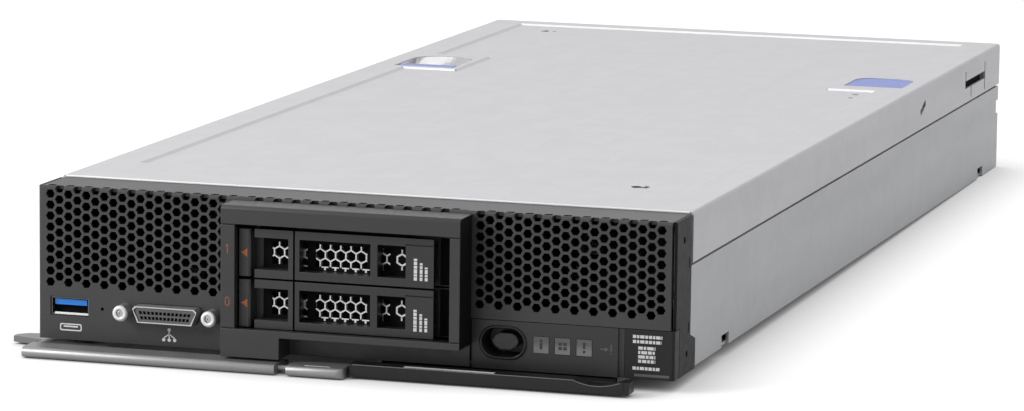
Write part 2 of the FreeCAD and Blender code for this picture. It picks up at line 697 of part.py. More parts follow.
def bezel_top():
    """Top flange: the honeycomb runs over the bend as shallow and deep notches in its front edge."""
    edge = WALL_INNER - SEAM
    narrow = HEX_SIDE / 2
    wide = narrow + BEND_NOTCH / math.sqrt(3)
    waist = BEND_HOLE_DEPTH - HEX_FLATS / 2
    mouth = HEX_SIDE - waist / math.sqrt(3)
    shallow = [(wide, 0), (narrow, BEND_NOTCH)]
    deep = [(mouth, 0), (HEX_SIDE, waist), (narrow, BEND_HOLE_DEPTH)]
    outline = [(-edge, PANEL_SHEET)]
    for xs, odd_first in [(left_columns(), False), (middle_columns(), False), (right_columns(), True)]:
        for k, x in enumerate(xs):
            half = shallow if (k % 2 == 0) == odd_first else deep
            outline += [(x - dx, PANEL_SHEET + dy) for dx, dy in half]
            outline += [(x + dx, PANEL_SHEET + dy) for dx, dy in reversed(half)]
    outline += [(edge, PANEL_SHEET), (edge, FLANGE_DEPTH), (-edge, FLANGE_DEPTH)]
    flange = prism_z(outline, FLANGE_UNDER, PANEL_TOP)
    strip = [(OPENING_RIGHT, OPENING_TOP), (OPENING_LEFT, OPENING_TOP), (OPENING_LEFT, PANEL_TOP)]
    strip += notched_top(middle_columns(), False, OPENING_LEFT, OPENING_RIGHT)
    strip.append((OPENING_RIGHT, PANEL_TOP))
    return fuse(flange, bend(prism_y(strip, 0, PANEL_SHEET), OPENING_LEFT, OPENING_RIGHT))


def bracket_right():
    upper = side_outline(BRACKET_DEPTH, BRACKET_FOOT_DEPTH, BRACKET_FOOT_Z, 0, PANEL_BOTTOM, PANEL_TOP,
                         BRACKET_SETBACK)
    plate = prism_x(upper, WALL_INNER, HALF)
    plate = plate.cut(box(WALL_INNER, HALF, 0, CORNER_WRAP + SEAM, PANEL_BOTTOM, OPERATOR_TOP + SEAM))
    return pierce_bracket(plate)


def bracket_left():
    outline = side_outline(BRACKET_DEPTH, BRACKET_FOOT_DEPTH, BRACKET_FOOT_Z, 0, PANEL_BOTTOM, PANEL_TOP,
                           PANEL_SHEET)
    return mirror_x(pierce_bracket(prism_x(outline, WALL_INNER, HALF)))


def pierce_bracket(plate):
    """Two screw holes and two rivet slots in a side bracket."""
    high = octagon(BRACKET_DEPTH - BRACKET_HIGH_HOLE_INSET, PANEL_TOP - BRACKET_HIGH_HOLE_DROP,
                   BRACKET_HOLE_R, BRACKET_HOLE_R)
    low = octagon(BRACKET_DEPTH - BRACKET_LOW_HOLE_INSET, BRACKET_LOW_HOLE_Z, BRACKET_HOLE_R, BRACKET_HOLE_R)
    outlines = [high, low]
    for z in (RIVET_SLOT_LOW, RIVET_SLOT_HIGH):
        outlines.append(octagon(BRACKET_DEPTH - RIVET_SLOT_INSET, z, RIVET_SLOT_REACH, RIVET_SLOT_RISE))
    for outline in outlines:
        plate = plate.cut(prism_x(outline, WALL_INNER, HALF))
    return plate


def cylinder_y(r, x, z, y0, y1):
    return Part.makeCylinder(r, y1 - y0, V(x, y0, z), V(0, 1, 0))


def drive_bay_frame():
    outline = [
        (FRAME_LEFT, PANEL_BOTTOM + BLOCK_LIFT),
        (FRAME_LEFT + BLOCK_WIDTH, PANEL_BOTTOM + BLOCK_LIFT),
        (FRAME_LEFT + BLOCK_WIDTH, BOTTOM_BAR_Z),
        (FRAME_RIGHT, BOTTOM_BAR_Z),
        (FRAME_RIGHT, FRAME_TOP),
        (FRAME_LEFT, FRAME_TOP),
    ]
    body = prism_y(outline, -FRAME_PROUD, 0)
    lip = box(BAY_LEFT, BAY_RIGHT, -FRAME_PROUD, 0, BAY_BOTTOM, BAY_TOP)
    room_left = BAY_LEFT - LATCH_ROOM
    room_right = BAY_RIGHT + LATCH_ROOM
    cavity = box(room_left, room_right, FRAME_LIP - FRAME_PROUD, 0,
                 BAY_BOTTOM - SILL_ROOM, BAY_TOP + LATCH_ROOM)
    slope = [(-FRAME_PROUD, FRAME_TOP), (-FRAME_PROUD, FRAME_TOP - FRAME_BEVEL),
             (FRAME_BEVEL - FRAME_PROUD, FRAME_TOP)]
    bevel = prism_x(slope, FRAME_LEFT, FRAME_RIGHT)
    apron = box(FRAME_LEFT + BLOCK_WIDTH, FRAME_RIGHT, -APRON, 0, PANEL_BOTTOM + BLOCK_LIFT, BOTTOM_BAR_Z)
    body = body.cut(lip).cut(cavity).cut(bevel)
    line_rear = SPLIT_DEPTH - FRAME_PROUD
    for z in (BAY_BOTTOM, BAY_TOP - SPLIT_LINE):
        body = body.cut(box(FRAME_LEFT, FRAME_RIGHT, -FRAME_PROUD, line_rear, z, z + SPLIT_LINE))
    return fuse(body, apron)


def drive_cage():
    outer = box(CAGE_LEFT, CAGE_RIGHT, 0, CAGE_DEPTH, CAGE_BOTTOM, CAGE_TOP)
    inner = box(CAGE_LEFT + CAGE_SHEET, CAGE_RIGHT - CAGE_SHEET, 0, CAGE_DEPTH,
                CAGE_BOTTOM + CAGE_SHEET, CAGE_TOP - CAGE_SHEET)
    pieces = []
    for x in (CAGE_LEFT, CAGE_RIGHT - CAGE_SHEET):
        pieces.append(box(x, x + CAGE_SHEET, PAN_FRONT, CAGE_DEPTH, SHEET, CAGE_BOTTOM))
    for z in SLED_Z:
        top = rail_bottom(z) - SLIDE_GAP
        left = box(CAGE_LEFT + CAGE_SHEET, SLED_LEFT + RAIL, PAN_FRONT, DISK_REAR, top - LEDGE_HEIGHT, top)
        right = box(SLED_RIGHT - RAIL, CAGE_RIGHT - CAGE_SHEET, PAN_FRONT, DISK_REAR, top - LEDGE_HEIGHT, top)
        pieces += [left, right]
    return fuse(outer.cut(inner), *pieces)


def rail_bottom(z):
    return z + (SLED_HEIGHT - RAIL_HEIGHT) / 2


def backplane():
    gap = SLIDE_GAP
    return box(CAGE_LEFT + CAGE_SHEET + gap, CAGE_RIGHT - CAGE_SHEET - gap, BACKPLANE_FRONT,
               BACKPLANE_FRONT + BACKPLANE, CAGE_BOTTOM + CAGE_SHEET + gap, CAGE_TOP - CAGE_SHEET - gap)


def backplane_plugs():
    x = (SLED_LEFT + SLED_RIGHT) / 2
    half = DRIVE_PLUG_WIDTH / 2
    plugs = []
    for z in SLED_Z:
        high = z + SLED_HEIGHT / 2
        plugs.append(box(x - half, x + half, DISK_REAR + DRIVE_PLUG_GAP, BACKPLANE_FRONT,
                         high - DRIVE_PLUG_HEIGHT, high))
    return plugs


def window_rows(z):
    return z + HANDLE_BAR, z + SLED_HEIGHT - HANDLE_BAR


def drive_sled(z):
    """Front plate with a window behind the honeycomb, a fixed left bridge, hinge ears and side rails."""
    top = z + SLED_HEIGHT
    low, high = window_rows(z)
    plate = box(SLED_LEFT, SLED_RIGHT, PLATE_Y, DISK_FRONT, z, top)
    plate = plate.cut(box(COMB_LEFT, COMB_RIGHT - BRIDGE_RIM, PLATE_Y, DISK_FRONT, low, high))
    bridge = box(BRIDGE_LEFT, BRIDGE_RIGHT, FACE_Y, PLATE_Y, z, top)
    bridge = bridge.cut(box(BRIDGE_LEFT, BRIDGE_RIGHT - BRIDGE_RIM, FACE_Y, PLATE_Y, low, high))
    comb_room = box(BRIDGE_LEFT, BRIDGE_RIGHT, COMB_Y - SLIDE_GAP, PLATE_Y, low - COMB_LAP, high + COMB_LAP)
    pieces = [bridge.cut(comb_room)]
    for ear_z in ear_places(z):
        ear = prism_z(knuckle(PLATE_Y), ear_z, ear_z + EAR_HEIGHT)
        hole = Part.makeCylinder(TRUNNION_R + HINGE_GAP, EAR_HEIGHT, V(PIVOT_X, PIVOT_DEPTH, ear_z))
        pieces.append(ear.cut(hole))
    rail_z = rail_bottom(z)
    for x in (SLED_LEFT, SLED_RIGHT - RAIL):
        pieces.append(box(x, x + RAIL, DISK_FRONT, DISK_REAR, rail_z, rail_z + RAIL_HEIGHT))
    return fuse(plate, *pieces)


def knuckle(root):
    """Outline in (x, y) of a hinge knuckle: an eight-sided end round the pivot, straight back to its root."""
    way = 1 if root > PIVOT_DEPTH else -1
    flat = KNUCKLE_R * math.tan(math.pi / 8)
    half = [(KNUCKLE_R, root), (KNUCKLE_R, PIVOT_DEPTH - way * flat), (flat, PIVOT_DEPTH - way * KNUCKLE_R)]
    return [(PIVOT_X + dx, y) for dx, y in half] + [(PIVOT_X - dx, y) for dx, y in reversed(half)]


def ear_places(z):
    return z + HANDLE_BAR, z + SLED_HEIGHT - HANDLE_BAR - EAR_HEIGHT


def drive_comb(z):
    """Thin plate with three rows of pointed-top hexagons, in front of the sled's window."""
    low, high = window_rows(z)
    margin = COMB_LAP - SEAM
    row = COMB_PITCH * math.sqrt(3) / 2
    r = (COMB_PITCH - COMB_WEB) / math.sqrt(3)
    middle = (low + high) / 2
    count = int((COMB_RIGHT - COMB_LEFT) / COMB_PITCH - 1)
    turns = [math.pi * j / 3 for j in range(6)]
    rings = []
    for n in (-1, 0, 1):
        start = COMB_LEFT + COMB_PITCH * (1 if n else 0.5)
        for k in range(count):
            x = start + k * COMB_PITCH
            rings.append([(x + r * math.sin(t), middle + n * row + r * math.cos(t)) for t in turns])
    left = COMB_LEFT - SEAM
    bottom = low - margin
    top = high + margin
    outline = [(left, bottom), (COMB_RIGHT, bottom), (COMB_RIGHT, top), (left, top)]
    return pierced_plate(outline, rings, COMB_Y, PLATE_Y)


def disk_drive(z):
    low = z + DISK_MARGIN
    return box(SLED_LEFT + RAIL, SLED_RIGHT - RAIL, DISK_FRONT, DISK_REAR, low, low + DISK_HEIGHT)


def drive_handle(z):
    """Swing handle: two windows, a solid end and trunnions that turn in the sled's ears."""
    top = z + SLED_HEIGHT
    low, high = window_rows(z)
    rear = FACE_Y + HANDLE_THICK
    body = box(HANDLE_LEFT, HANDLE_RIGHT, FACE_Y, rear, z, top)
    body = body.cut(box(WINDOW_FIRST, WINDOW_FIRST + WINDOW_LEFT, FACE_Y, rear, low, high))
    body = body.cut(box(WINDOW_SECOND, WINDOW_SECOND + WINDOW_RIGHT, FACE_Y, rear, low, high))
    end_left = HANDLE_RIGHT - HANDLE_END + BRIDGE_RIM
    inside = FACE_Y + HANDLE_FACE
    body = body.cut(box(end_left, HANDLE_RIGHT, inside, rear, z, top))
    ears = ear_places(z)
    barrel_low = ears[0] + EAR_HEIGHT + SLIDE_GAP
    barrel_high = ears[1] - SLIDE_GAP
    barrel = prism_z(knuckle(inside), barrel_low, barrel_high)
    reach = ears[1] + EAR_HEIGHT - ears[0]
    trunnion = Part.makeCylinder(TRUNNION_R, reach, V(PIVOT_X, PIVOT_DEPTH, ears[0]))
    line_top = top - END_LINE_DROP
    line = box(HANDLE_RIGHT - HANDLE_END, HANDLE_RIGHT, FACE_Y, FACE_Y + SPLIT_DEPTH,
               line_top - SPLIT_LINE, line_top)
    return fuse(body.cut(line), barrel, trunnion)


def drive_latch(z):
    left = DRIVE_LATCH_LEFT
    right = left + LATCH_WIDTH
    front = FACE_Y + SLIDE_GAP
    rear = PLATE_Y - SLIDE_GAP
    outline = [
        (left, front),
        (right - LATCH_CHAMFER, front),
        (right, front + LATCH_CHAMFER),
        (right, rear),
        (left, rear),
    ]
    return prism_z(outline, z + SLIDE_GAP, z + SLED_HEIGHT - SLIDE_GAP)


def operator_panel():
    front = box(OPERATOR_LEFT, OPERATOR_RIGHT, 0, OPERATOR_FRONT, PANEL_BOTTOM, OPERATOR_TOP)
    bar_left = OPERATOR_RIGHT - CORNER_BAR_WIDTH
    bar = box(bar_left, OPERATOR_RIGHT, 0, CORNER_BAR_RECESS, PANEL_BOTTOM, OPERATOR_TOP)
    housing = box(OPERATOR_LEFT + OPERATOR_FRONT, OPERATOR_RIGHT - OPERATOR_FRONT, OPERATOR_FRONT,
                  OPERATOR_DEPTH, SHEET + SEAM, OPERATOR_TOP - SEAM)
    ring_w = WELL_WIDTH + 2 * RING_WALL
    ring_h = WELL_HEIGHT + 2 * RING_WALL
    ring = stadium_y(BUTTON_X, BUTTON_Z, ring_w, ring_h, -RING_PROUD, 0)
    well_floor = BUTTON_RECESS + BUTTON_LENGTH
    well = stadium_y(BUTTON_X, BUTTON_Z, WELL_WIDTH, WELL_HEIGHT, -RING_PROUD, well_floor)
    stem = box(BUTTON_X - BUTTON_STEM_WIDTH / 2 - SLIDE_GAP, BUTTON_X + BUTTON_STEM_WIDTH / 2 + SLIDE_GAP,
               well_floor, OPERATOR_DEPTH, BUTTON_Z - BUTTON_STEM_HEIGHT / 2 - SLIDE_GAP,
               BUTTON_Z + BUTTON_STEM_HEIGHT / 2 + SLIDE_GAP)
    body = fuse(front.cut(bar), housing, ring).cut(well).cut(stem)
    for window in status_windows(SEAM):
        body = body.cut(window)
    return body


def status_windows(gap):
    half = WINDOW_WIDTH / 2 + gap / 2
    tall = WINDOW_HEIGHT / 2 + gap / 2
    windows = []
    for k in range(WINDOW_COUNT):
        x = BUTTON_X + WINDOW_FROM_BUTTON + k * WINDOW_PITCH
        windows.append(box(x - half, x + half, 0, WINDOW_DEPTH, BUTTON_Z - tall, BUTTON_Z + tall))
    return windows


def power_button():
    """Pressed along +Y: a slot-shaped cap on a flat stem."""
    rear = BUTTON_RECESS + BUTTON_LENGTH - BUTTON_TRAVEL - SLIDE_GAP
    cap = stadium_y(BUTTON_X, BUTTON_Z, BUTTON_WIDTH, BUTTON_HEIGHT, BUTTON_RECESS, rear)
    stem = box(BUTTON_X - BUTTON_STEM_WIDTH / 2, BUTTON_X + BUTTON_STEM_WIDTH / 2, rear, OPERATOR_DEPTH,
               BUTTON_Z - BUTTON_STEM_HEIGHT / 2, BUTTON_Z + BUTTON_STEM_HEIGHT / 2)
    return fuse(cap, stem)


def label_block():
    """Corner piece that wraps round the right end of the front panel."""
    body = box(CORNER_LEFT, HALF, 0, CORNER_WRAP, PANEL_BOTTOM, OPERATOR_TOP)
    inside = WALL_INNER - SEAM
    body = body.cut(box(CORNER_LEFT, inside, OPERATOR_FRONT, CORNER_WRAP, PANEL_BOTTOM, OPERATOR_TOP))
    edge = [e for e in body.Edges if e.BoundBox.XMin > HALF - SEAM and e.BoundBox.YMax < SEAM]
    return body.makeFillet(CORNER_R, edge)


def usb_shell():
    half_w = USB_WIDTH / 2
    half_h = USB_HEIGHT / 2
    outer = box(USB_X - half_w, USB_X + half_w, USB_RECESS, USB_DEPTH, USB_Z - half_h, USB_Z + half_h)
    inner = box(USB_X - half_w + USB_WALL, USB_X + half_w - USB_WALL, USB_RECESS, USB_DEPTH,
                USB_Z - half_h + USB_WALL, USB_Z + half_h - USB_WALL)
    return outer.cut(inner)


def usb_tongue():
    """Contact tongue in the upper half of the socket, on a moulded back that stands on the board."""
    half_w = USB_WIDTH / 2 - USB_WALL
    high = USB_Z + USB_HEIGHT / 2 - USB_WALL
    low = USB_Z - USB_HEIGHT / 2 + USB_WALL
    rear = USB_DEPTH
    back = box(USB_X - half_w, USB_X + half_w, rear - 2 * TONGUE_THICK, rear, low, high)
    foot = box(USB_X - half_w, USB_X + half_w, rear, rear + TONGUE_THICK, FRONT_BOARD_TOP, high)
    tongue_top = high - USB_WALL
    tongue = box(USB_X - TONGUE_WIDTH / 2, USB_X + TONGUE_WIDTH / 2, TONGUE_SETBACK, rear,
                 tongue_top - TONGUE_THICK, tongue_top)
    return fuse(back, foot, tongue)


def console_outline(grow):
    """D-shaped outline of the console connector, wider at the top, grown on all sides."""
    top = CONSOLE_WIDTH / 2 + grow
    low = top - CONSOLE_TAPER
    rise = CONSOLE_HEIGHT / 2 + grow
    cut = CONSOLE_TAPER / 2
    return [
        (CONSOLE_X - low, CONSOLE_Z - rise),
        (CONSOLE_X + low, CONSOLE_Z - rise),
        (CONSOLE_X + top, CONSOLE_Z + rise - cut),
        (CONSOLE_X + top - cut, CONSOLE_Z + rise),
        (CONSOLE_X - top + cut, CONSOLE_Z + rise),
        (CONSOLE_X - top, CONSOLE_Z + rise - cut),
    ]


def console_shell():
    tube = prism_y(console_outline(0), -CONSOLE_PROUD, CONSOLE_DEPTH)
    return tube.cut(prism_y(console_outline(-CONSOLE_WALL), -CONSOLE_PROUD, CONSOLE_DEPTH))


def console_insert():
    """Contact block, set back in the shell."""
    return prism_y(console_outline(-CONSOLE_WALL), CONSOLE_RECESS - CONSOLE_PROUD, CONSOLE_DEPTH)


def screwlock_places():
    return CONSOLE_X - SCREWLOCK_SPACING / 2, CONSOLE_X + SCREWLOCK_SPACING / 2


def console_screwlocks():
    front = -SCREWLOCK_PROUD
    locks = []
    for x in screwlock_places():
        head = cylinder_y(SCREWLOCK_R, x, CONSOLE_Z, front, 0)
        hole = cylinder_y(SCREWLOCK_HOLE_R, x, CONSOLE_Z, front, front + SCREWLOCK_HOLE_DEPTH)
        locks.append(head.cut(hole))
    return locks


def front_io_board():
    left = -UPPER_WALL_INNER + FRONT_BOARD_MARGIN
    right = CAGE_LEFT - FRONT_BOARD_MARGIN
    return box(left, right, PAN_FRONT, PAN_FRONT + FRONT_BOARD_LENGTH, FRONT_BOARD_UNDER, FRONT_BOARD_TOP)


def handle_lever():
    """Flat cam lever: a rail behind the grip, an arm round the pivot and a hook past the side."""
    half = LEVER_ARM / 2
    hook_left = -HALF - HOOK_REACH
    rail_rear = GRIP_REAR + LEVER_RAIL
    outline = [
        (GRIP_LEFT, GRIP_REAR),
        (GRIP_RIGHT, GRIP_REAR),
        (GRIP_RIGHT, rail_rear),
        (HANDLE_PIVOT_X + LEVER_ARM, rail_rear),
        (HANDLE_PIVOT_X + half, PIVOT_Y),
        (HANDLE_PIVOT_X + half / 2, PIVOT_Y + half),
        (HANDLE_PIVOT_X - half / 2, PIVOT_Y + half),
        (hook_left + HOOK_WIDTH / 2, PIVOT_Y + HOOK_WIDTH / 2),
        (hook_left, PIVOT_Y),
        (hook_left, PIVOT_Y - HOOK_WIDTH / 2),
        (-HALF, PIVOT_Y - HOOK_WIDTH),
        (GRIP_LEFT, rail_rear),
    ]
    plate = prism_z(outline, LEVER_BOTTOM, LEVER_TOP)
    hole = Part.makeCylinder(PIVOT_R + HINGE_GAP, LEVER_SHEET, V(HANDLE_PIVOT_X, PIVOT_Y, LEVER_BOTTOM))
    return plate.cut(hole)


def bullnose(x0, x1):
    """Grip bar with a rounded nose along its front."""
    body = box(x0, x1, GRIP_FRONT, GRIP_REAR, GRIP_BOTTOM, GRIP_TOP)
    edges = [e for e in body.Edges if e.BoundBox.YMax < GRIP_FRONT + SEAM and e.BoundBox.XLength > GRIP_GAP]
    return body.makeFillet(GRIP_HEIGHT / 2 - NOSE_FLAT, edges)


def handle_grip():
    rod = Part.makeCylinder(ROD_R, ROD_LENGTH, V(GRIP_RIGHT, ROD_Y, ROD_Z), V(1, 0, 0))
    return fuse(bullnose(GRIP_LEFT, GRIP_RIGHT), rod)


def handle_latch():
    """Sliding end of the grip: rounded tip, finger groove on top, bored for the rod."""
    tip = HANDLE_LATCH_RIGHT - GRIP_END_R
    front = GRIP_FRONT + GRIP_END_R
    body = bullnose(HANDLE_LATCH_LEFT, HANDLE_LATCH_RIGHT)
    corner = box(tip, HANDLE_LATCH_RIGHT, GRIP_FRONT, front, GRIP_BOTTOM, GRIP_TOP)
    corner = corner.cut(Part.makeCylinder(GRIP_END_R, GRIP_HEIGHT, V(tip, front, GRIP_BOTTOM)))
    bore_depth = ROD_LENGTH - GRIP_GAP + HANDLE_LATCH_TRAVEL + SLIDE_GAP
    bore = Part.makeCylinder(ROD_R + HINGE_GAP, bore_depth, V(HANDLE_LATCH_LEFT, ROD_Y, ROD_Z), V(1, 0, 0))
    middle = (HANDLE_LATCH_LEFT + HANDLE_LATCH_RIGHT) / 2
    groove_y = ROD_Y - GRIP_DEPTH / 4
    groove = box(middle - GROOVE_LENGTH / 2, middle + GROOVE_LENGTH / 2, groove_y - GROOVE_WIDTH / 2,
                 groove_y + GROOVE_WIDTH / 2, GRIP_TOP - GROOVE_DEPTH, GRIP_TOP)
    return body.cut(corner).cut(bore).cut(groove)


def handle_pivot():
    """Shoulder bolt that hangs the lever under the front pan."""
    head_top = LEVER_BOTTOM - SLIDE_GAP / 4
    shank = Part.makeCylinder(PIVOT_R, SHEET - head_top, V(HANDLE_PIVOT_X, PIVOT_Y, head_top))
    shoulder = hex_prism_z(HANDLE_PIVOT_X, PIVOT_Y, PIVOT_FLATS, LEVER_TOP + SLIDE_GAP, 0)
    head = hex_prism_z(HANDLE_PIVOT_X, PIVOT_Y, PIVOT_FLATS, head_top - PIVOT_HEAD, head_top)
    return fuse(shank, shoulder, head)


def label_tray():
    lip_bottom = TRAY_LIP_TOP - TRAY_LIP_HEIGHT
    profile = [
        (TRAY_LEFT, lip_bottom),
        (TRAY_RIGHT - TRAY_CORNER, lip_bottom),
        (TRAY_RIGHT, lip_bottom + TRAY_CORNER),
        (TRAY_RIGHT, TRAY_LIP_TOP),
        (TRAY_LEFT, TRAY_LIP_TOP),
    ]
    lip = prism_y(profile, TRAY_LIP_FRONT, TRAY_LIP_REAR)
    half = SCOOP_WIDTH / 2
    middle = TRAY_RIGHT - SCOOP_INSET - half
    r = (half ** 2 + SCOOP_DEPTH ** 2) / (2 * SCOOP_DEPTH)
    scoop = cylinder_y(r, middle, TRAY_LIP_TOP - SCOOP_DEPTH + r, TRAY_LIP_FRONT, TRAY_LIP_REAR)
    card_rear = TRAY_LIP_REAR + TRAY_CARD_LENGTH
    card = box(CARD_LEFT, CARD_RIGHT, TRAY_LIP_REAR, card_rear, CARD_UNDER, TRAY_CARD_TOP)
    return fuse(lip.cut(scoop), card)


def tray_guides():
    """L-shaped runners under the front pan that carry the edges of the card."""
    foot_top = CARD_UNDER - SLIDE_GAP
    bottom = foot_top - GUIDE_SHEET
    guides = []
    for edge, way in ((CARD_LEFT, -1), (CARD_RIGHT, 1)):
        near = edge + way * SLIDE_GAP
        far = near + way * GUIDE_WALL
        inner = edge - way * GUIDE_FOOT
        outline = [(far, 0), (far, bottom), (inner, bottom), (inner, foot_top), (near, foot_top), (near, 0)]
        guides.append(prism_y(outline, PAN_FRONT, PAN_FRONT + GUIDE_LENGTH))
    return guides


def pocket_outline():
    """Recessed centre of the cover, stepped round the raised pads beside the latch and the push point."""
    side = HALF - COVER_MARGIN
    front = COVER_FRONT + COVER_FRONT_BAND
    rear = DEPTH - COVER_REAR_MARGIN
    halves = []
    for reach in (PUSH_PAD_REACH, LATCH_PAD_REACH):
        pad = HALF - reach
        step_in = [(side, front), (side, PAD_FRONT), (pad, PAD_FRONT)]
        step_out = [(pad, PAD_REAR), (side, PAD_REAR), (side, rear)]
        halves.append(step_in + step_out)
    return halves[0] + [(-x, y) for x, y in reversed(halves[1])]


def top_cover():
    rear_inner = DEPTH - COVER_SHEET
    side_inner = HALF - COVER_SHEET
    flange_bottom = FLANGE_SEAM_Z + FLANGE_SEAM
    shell = box(-HALF, HALF, COVER_FRONT, DEPTH, flange_bottom, COVER_TOP)
    top_edges = [e for e in shell.Edges if e.BoundBox.ZMin > COVER_TOP - SEAM]
    bends = [e for e in top_edges if e.BoundBox.YLength > FLANGE_DEPTH]
    shell = shell.makeFillet(COVER_BEND, bends)
    outer_pocket = prism_z(pocket_outline(), CENTRE_TOP, COVER_TOP)
    room = box(-side_inner, side_inner, COVER_FRONT, rear_inner, flange_bottom, COVER_TOP - COVER_SHEET)
    grown = face([V(x, y, COVER_UNDER) for x, y in pocket_outline()]).makeOffset2D(COVER_SHEET, join=2)
    pan = grown.extrude(V(0, 0, COVER_TOP - COVER_SHEET - COVER_UNDER))
    cover = shell.cut(outer_pocket).cut(room.cut(pan))
    for place, r in ((latch_place(), LATCH_HOLE_R), (push_place(), PUSH_R)):
        cover = cover.cut(d_slab(place, r, 0, COVER_UNDER, COVER_TOP))
    for piece in side_cuts():
        cover = cover.cut(piece)
    for x, y in keyholes():
        cover = cover.cut(hex_prism_z(x, y, KEYHOLE_FLATS, COVER_UNDER, CENTRE_TOP))
        cover = cover.cut(box(x - KEYHOLE_SLOT / 2, x + KEYHOLE_SLOT / 2, y, y + KEYHOLE_LENGTH,
                              COVER_UNDER, CENTRE_TOP))
    return cover


def keyholes():
    x = HALF - KEYHOLE_INSET
    return (x, COVER_FRONT + KEYHOLE_FRONT), (-x, DEPTH - KEYHOLE_REAR)


def latch_place():
    """Left, right, front and rear of the latch opening."""
    front = PAD_FRONT + LATCH_FROM_PAD
    middle = -HALF + LATCH_HOLE_INSET
    return middle - LATCH_HOLE_WIDTH / 2, middle + LATCH_HOLE_WIDTH / 2, front, front + LATCH_HOLE_LENGTH


def push_place():
    """Left, right, front and rear of the push point's opening."""
    front = PAD_FRONT + PUSH_FROM_PAD
    middle = HALF - PUSH_INSET
    return middle - PUSH_WIDTH / 2, middle + PUSH_WIDTH / 2, front, front + PUSH_LENGTH


def side_window_place():
    """Front, rear, bottom and top of the latch window's bar in the side flange."""
    y1 = DEPTH - SIDE_WINDOW_FROM_REAR
    z0 = FLANGE_SEAM_Z + FLANGE_SEAM + SIDE_WINDOW_RISE
    return y1 - SIDE_WINDOW_LENGTH, y1, z0, z0 + SIDE_WINDOW_HEIGHT


def side_cuts():
    """On both sides, a latch window whose slits free an upper and a lower tab, and a leaning diamond."""
    inner = HALF - COVER_SHEET
    y0, y1, z0, z1 = side_window_place()
    bar = box(inner, HALF, y0, y1, z0, z1)
    rear_slit = box(inner, HALF, y1 - SLIT, y1, z0 - SLIT_DROP, z1 + SLIT_RISE)
    upper_slit = box(inner, HALF, y0, y0 + SLIT, z1, z1 + SLIT_RISE)
    lower_slit = box(inner, HALF, y0 + SLIT_INSET, y0 + SLIT_INSET + SLIT, z0 - SLIT_DROP, z0)
    window = fuse(bar, rear_slit, upper_slit, lower_slit)
    y = DEPTH - DIAMOND_FROM_REAR
    z = COVER_TOP - DIAMOND_DROP
    corners = [(DIAMOND_LENGTH / 2, DIAMOND_HEIGHT / 2), (DIAMOND_WAIST_LENGTH / 2, DIAMOND_WAIST_HEIGHT / 2)]
    outline = [(y + dy, z + dz) for dy, dz in corners] + [(y - dy, z - dz) for dy, dz in corners]
    diamond = prism_x(outline, inner, HALF)
    return [window, diamond, mirror_x(window), mirror_x(diamond)]


def latch_dish():
    rim = COVER_TOP - SEAM
    outer = d_slab(latch_place(), LATCH_HOLE_R, SEAM / 2, DISH_FLOOR - DISH_WALL, rim)
    return outer.cut(d_slab(latch_place(), LATCH_HOLE_R, SEAM / 2 + DISH_WALL, DISH_FLOOR, rim))


def cover_latch():
    """Blue thumb piece with a flat top level with the dish's rim, drawn to the rear inside the dish."""
    x0, x1, y0 = latch_place()[:3]
    inset = SEAM / 2 + DISH_WALL + SLIDE_GAP
    floor = DISH_FLOOR + SLIDE_GAP
    top = COVER_TOP - SEAM
    front = y0 + inset
    rear = front + COVER_LATCH_LENGTH
    profile = [
        (front, floor),
        (rear, floor),
        (rear, floor + COVER_LATCH_SOLE),
        (front + COVER_LATCH_LIP, top),
        (front, top),
    ]
    return prism_x(profile, x0 + inset, x1 - inset)


def push_point():
    return d_slab(push_place(), PUSH_R, SEAM / 2, COVER_UNDER, COVER_TOP - SEAM)


def system_board():
    return box(-BOARD_HALF, BOARD_HALF, BOARD_FRONT, BOARD_REAR, BOARD_UNDER, BOARD_TOP)


def board_standoffs():
    inset = STANDOFF_FLATS
    posts = []
    for y in (BOARD_FRONT + inset, (ROW_Y[0] + ROW_Y[1]) / 2, BOARD_REAR - inset):
        for x in (inset - BOARD_HALF, 0, BOARD_HALF - inset):
            posts.append(hex_prism_z(x, y, STANDOFF_FLATS, SHEET, BOARD_UNDER))
    left = -UPPER_WALL_INNER + FRONT_BOARD_MARGIN + inset
    right = CAGE_LEFT - FRONT_BOARD_MARGIN - inset
    for y in (PAN_FRONT + inset, PAN_FRONT + FRONT_BOARD_LENGTH - inset):
        for x in (left, right):
            posts.append(hex_prism_z(x, y, STANDOFF_FLATS, SHEET, FRONT_BOARD_UNDER))
    return posts


def on_board(y, width, length, low, high):
    return box(-width / 2, width / 2, y - length / 2, y + length / 2, low, high)


def cpu_sockets():
    """Sockets with a raised frame round each processor."""
    top = BOARD_TOP + SOCKET_HEIGHT
    sockets = []
    for y in ROW_Y:
        body = on_board(y, SOCKET_WIDTH, SOCKET_LENGTH, BOARD_TOP, top + PROCESSOR_HEIGHT / 2)
        seat = on_board(y, PROCESSOR_WIDTH + 2 * SEAM, PROCESSOR_LENGTH + 2 * SEAM, top, PROCESSOR_TOP)
        sockets.append(body.cut(seat))
    return sockets


def processors():
    top = BOARD_TOP + SOCKET_HEIGHT
    return [on_board(y, PROCESSOR_WIDTH, PROCESSOR_LENGTH, top, PROCESSOR_TOP) for y in ROW_Y]


def finned(x0, x1, y0, y1, z0, base, top, fin, pitch):
    """Heat sink drawn as one comb section along Y."""
    count = int((x1 - x0 - 2 * fin) / pitch)
    start = (x0 + x1 - count * pitch - fin) / 2
    points = [(x1, z0), (x1, z0 + base)]
    for k in reversed(range(count + 1)):
        left = start + k * pitch
        points += [(left + fin, z0 + base), (left + fin, top), (left, top), (left, z0 + base)]
    points += [(x0, z0 + base), (x0, z0)]
    return prism_y(points, y0, y1)


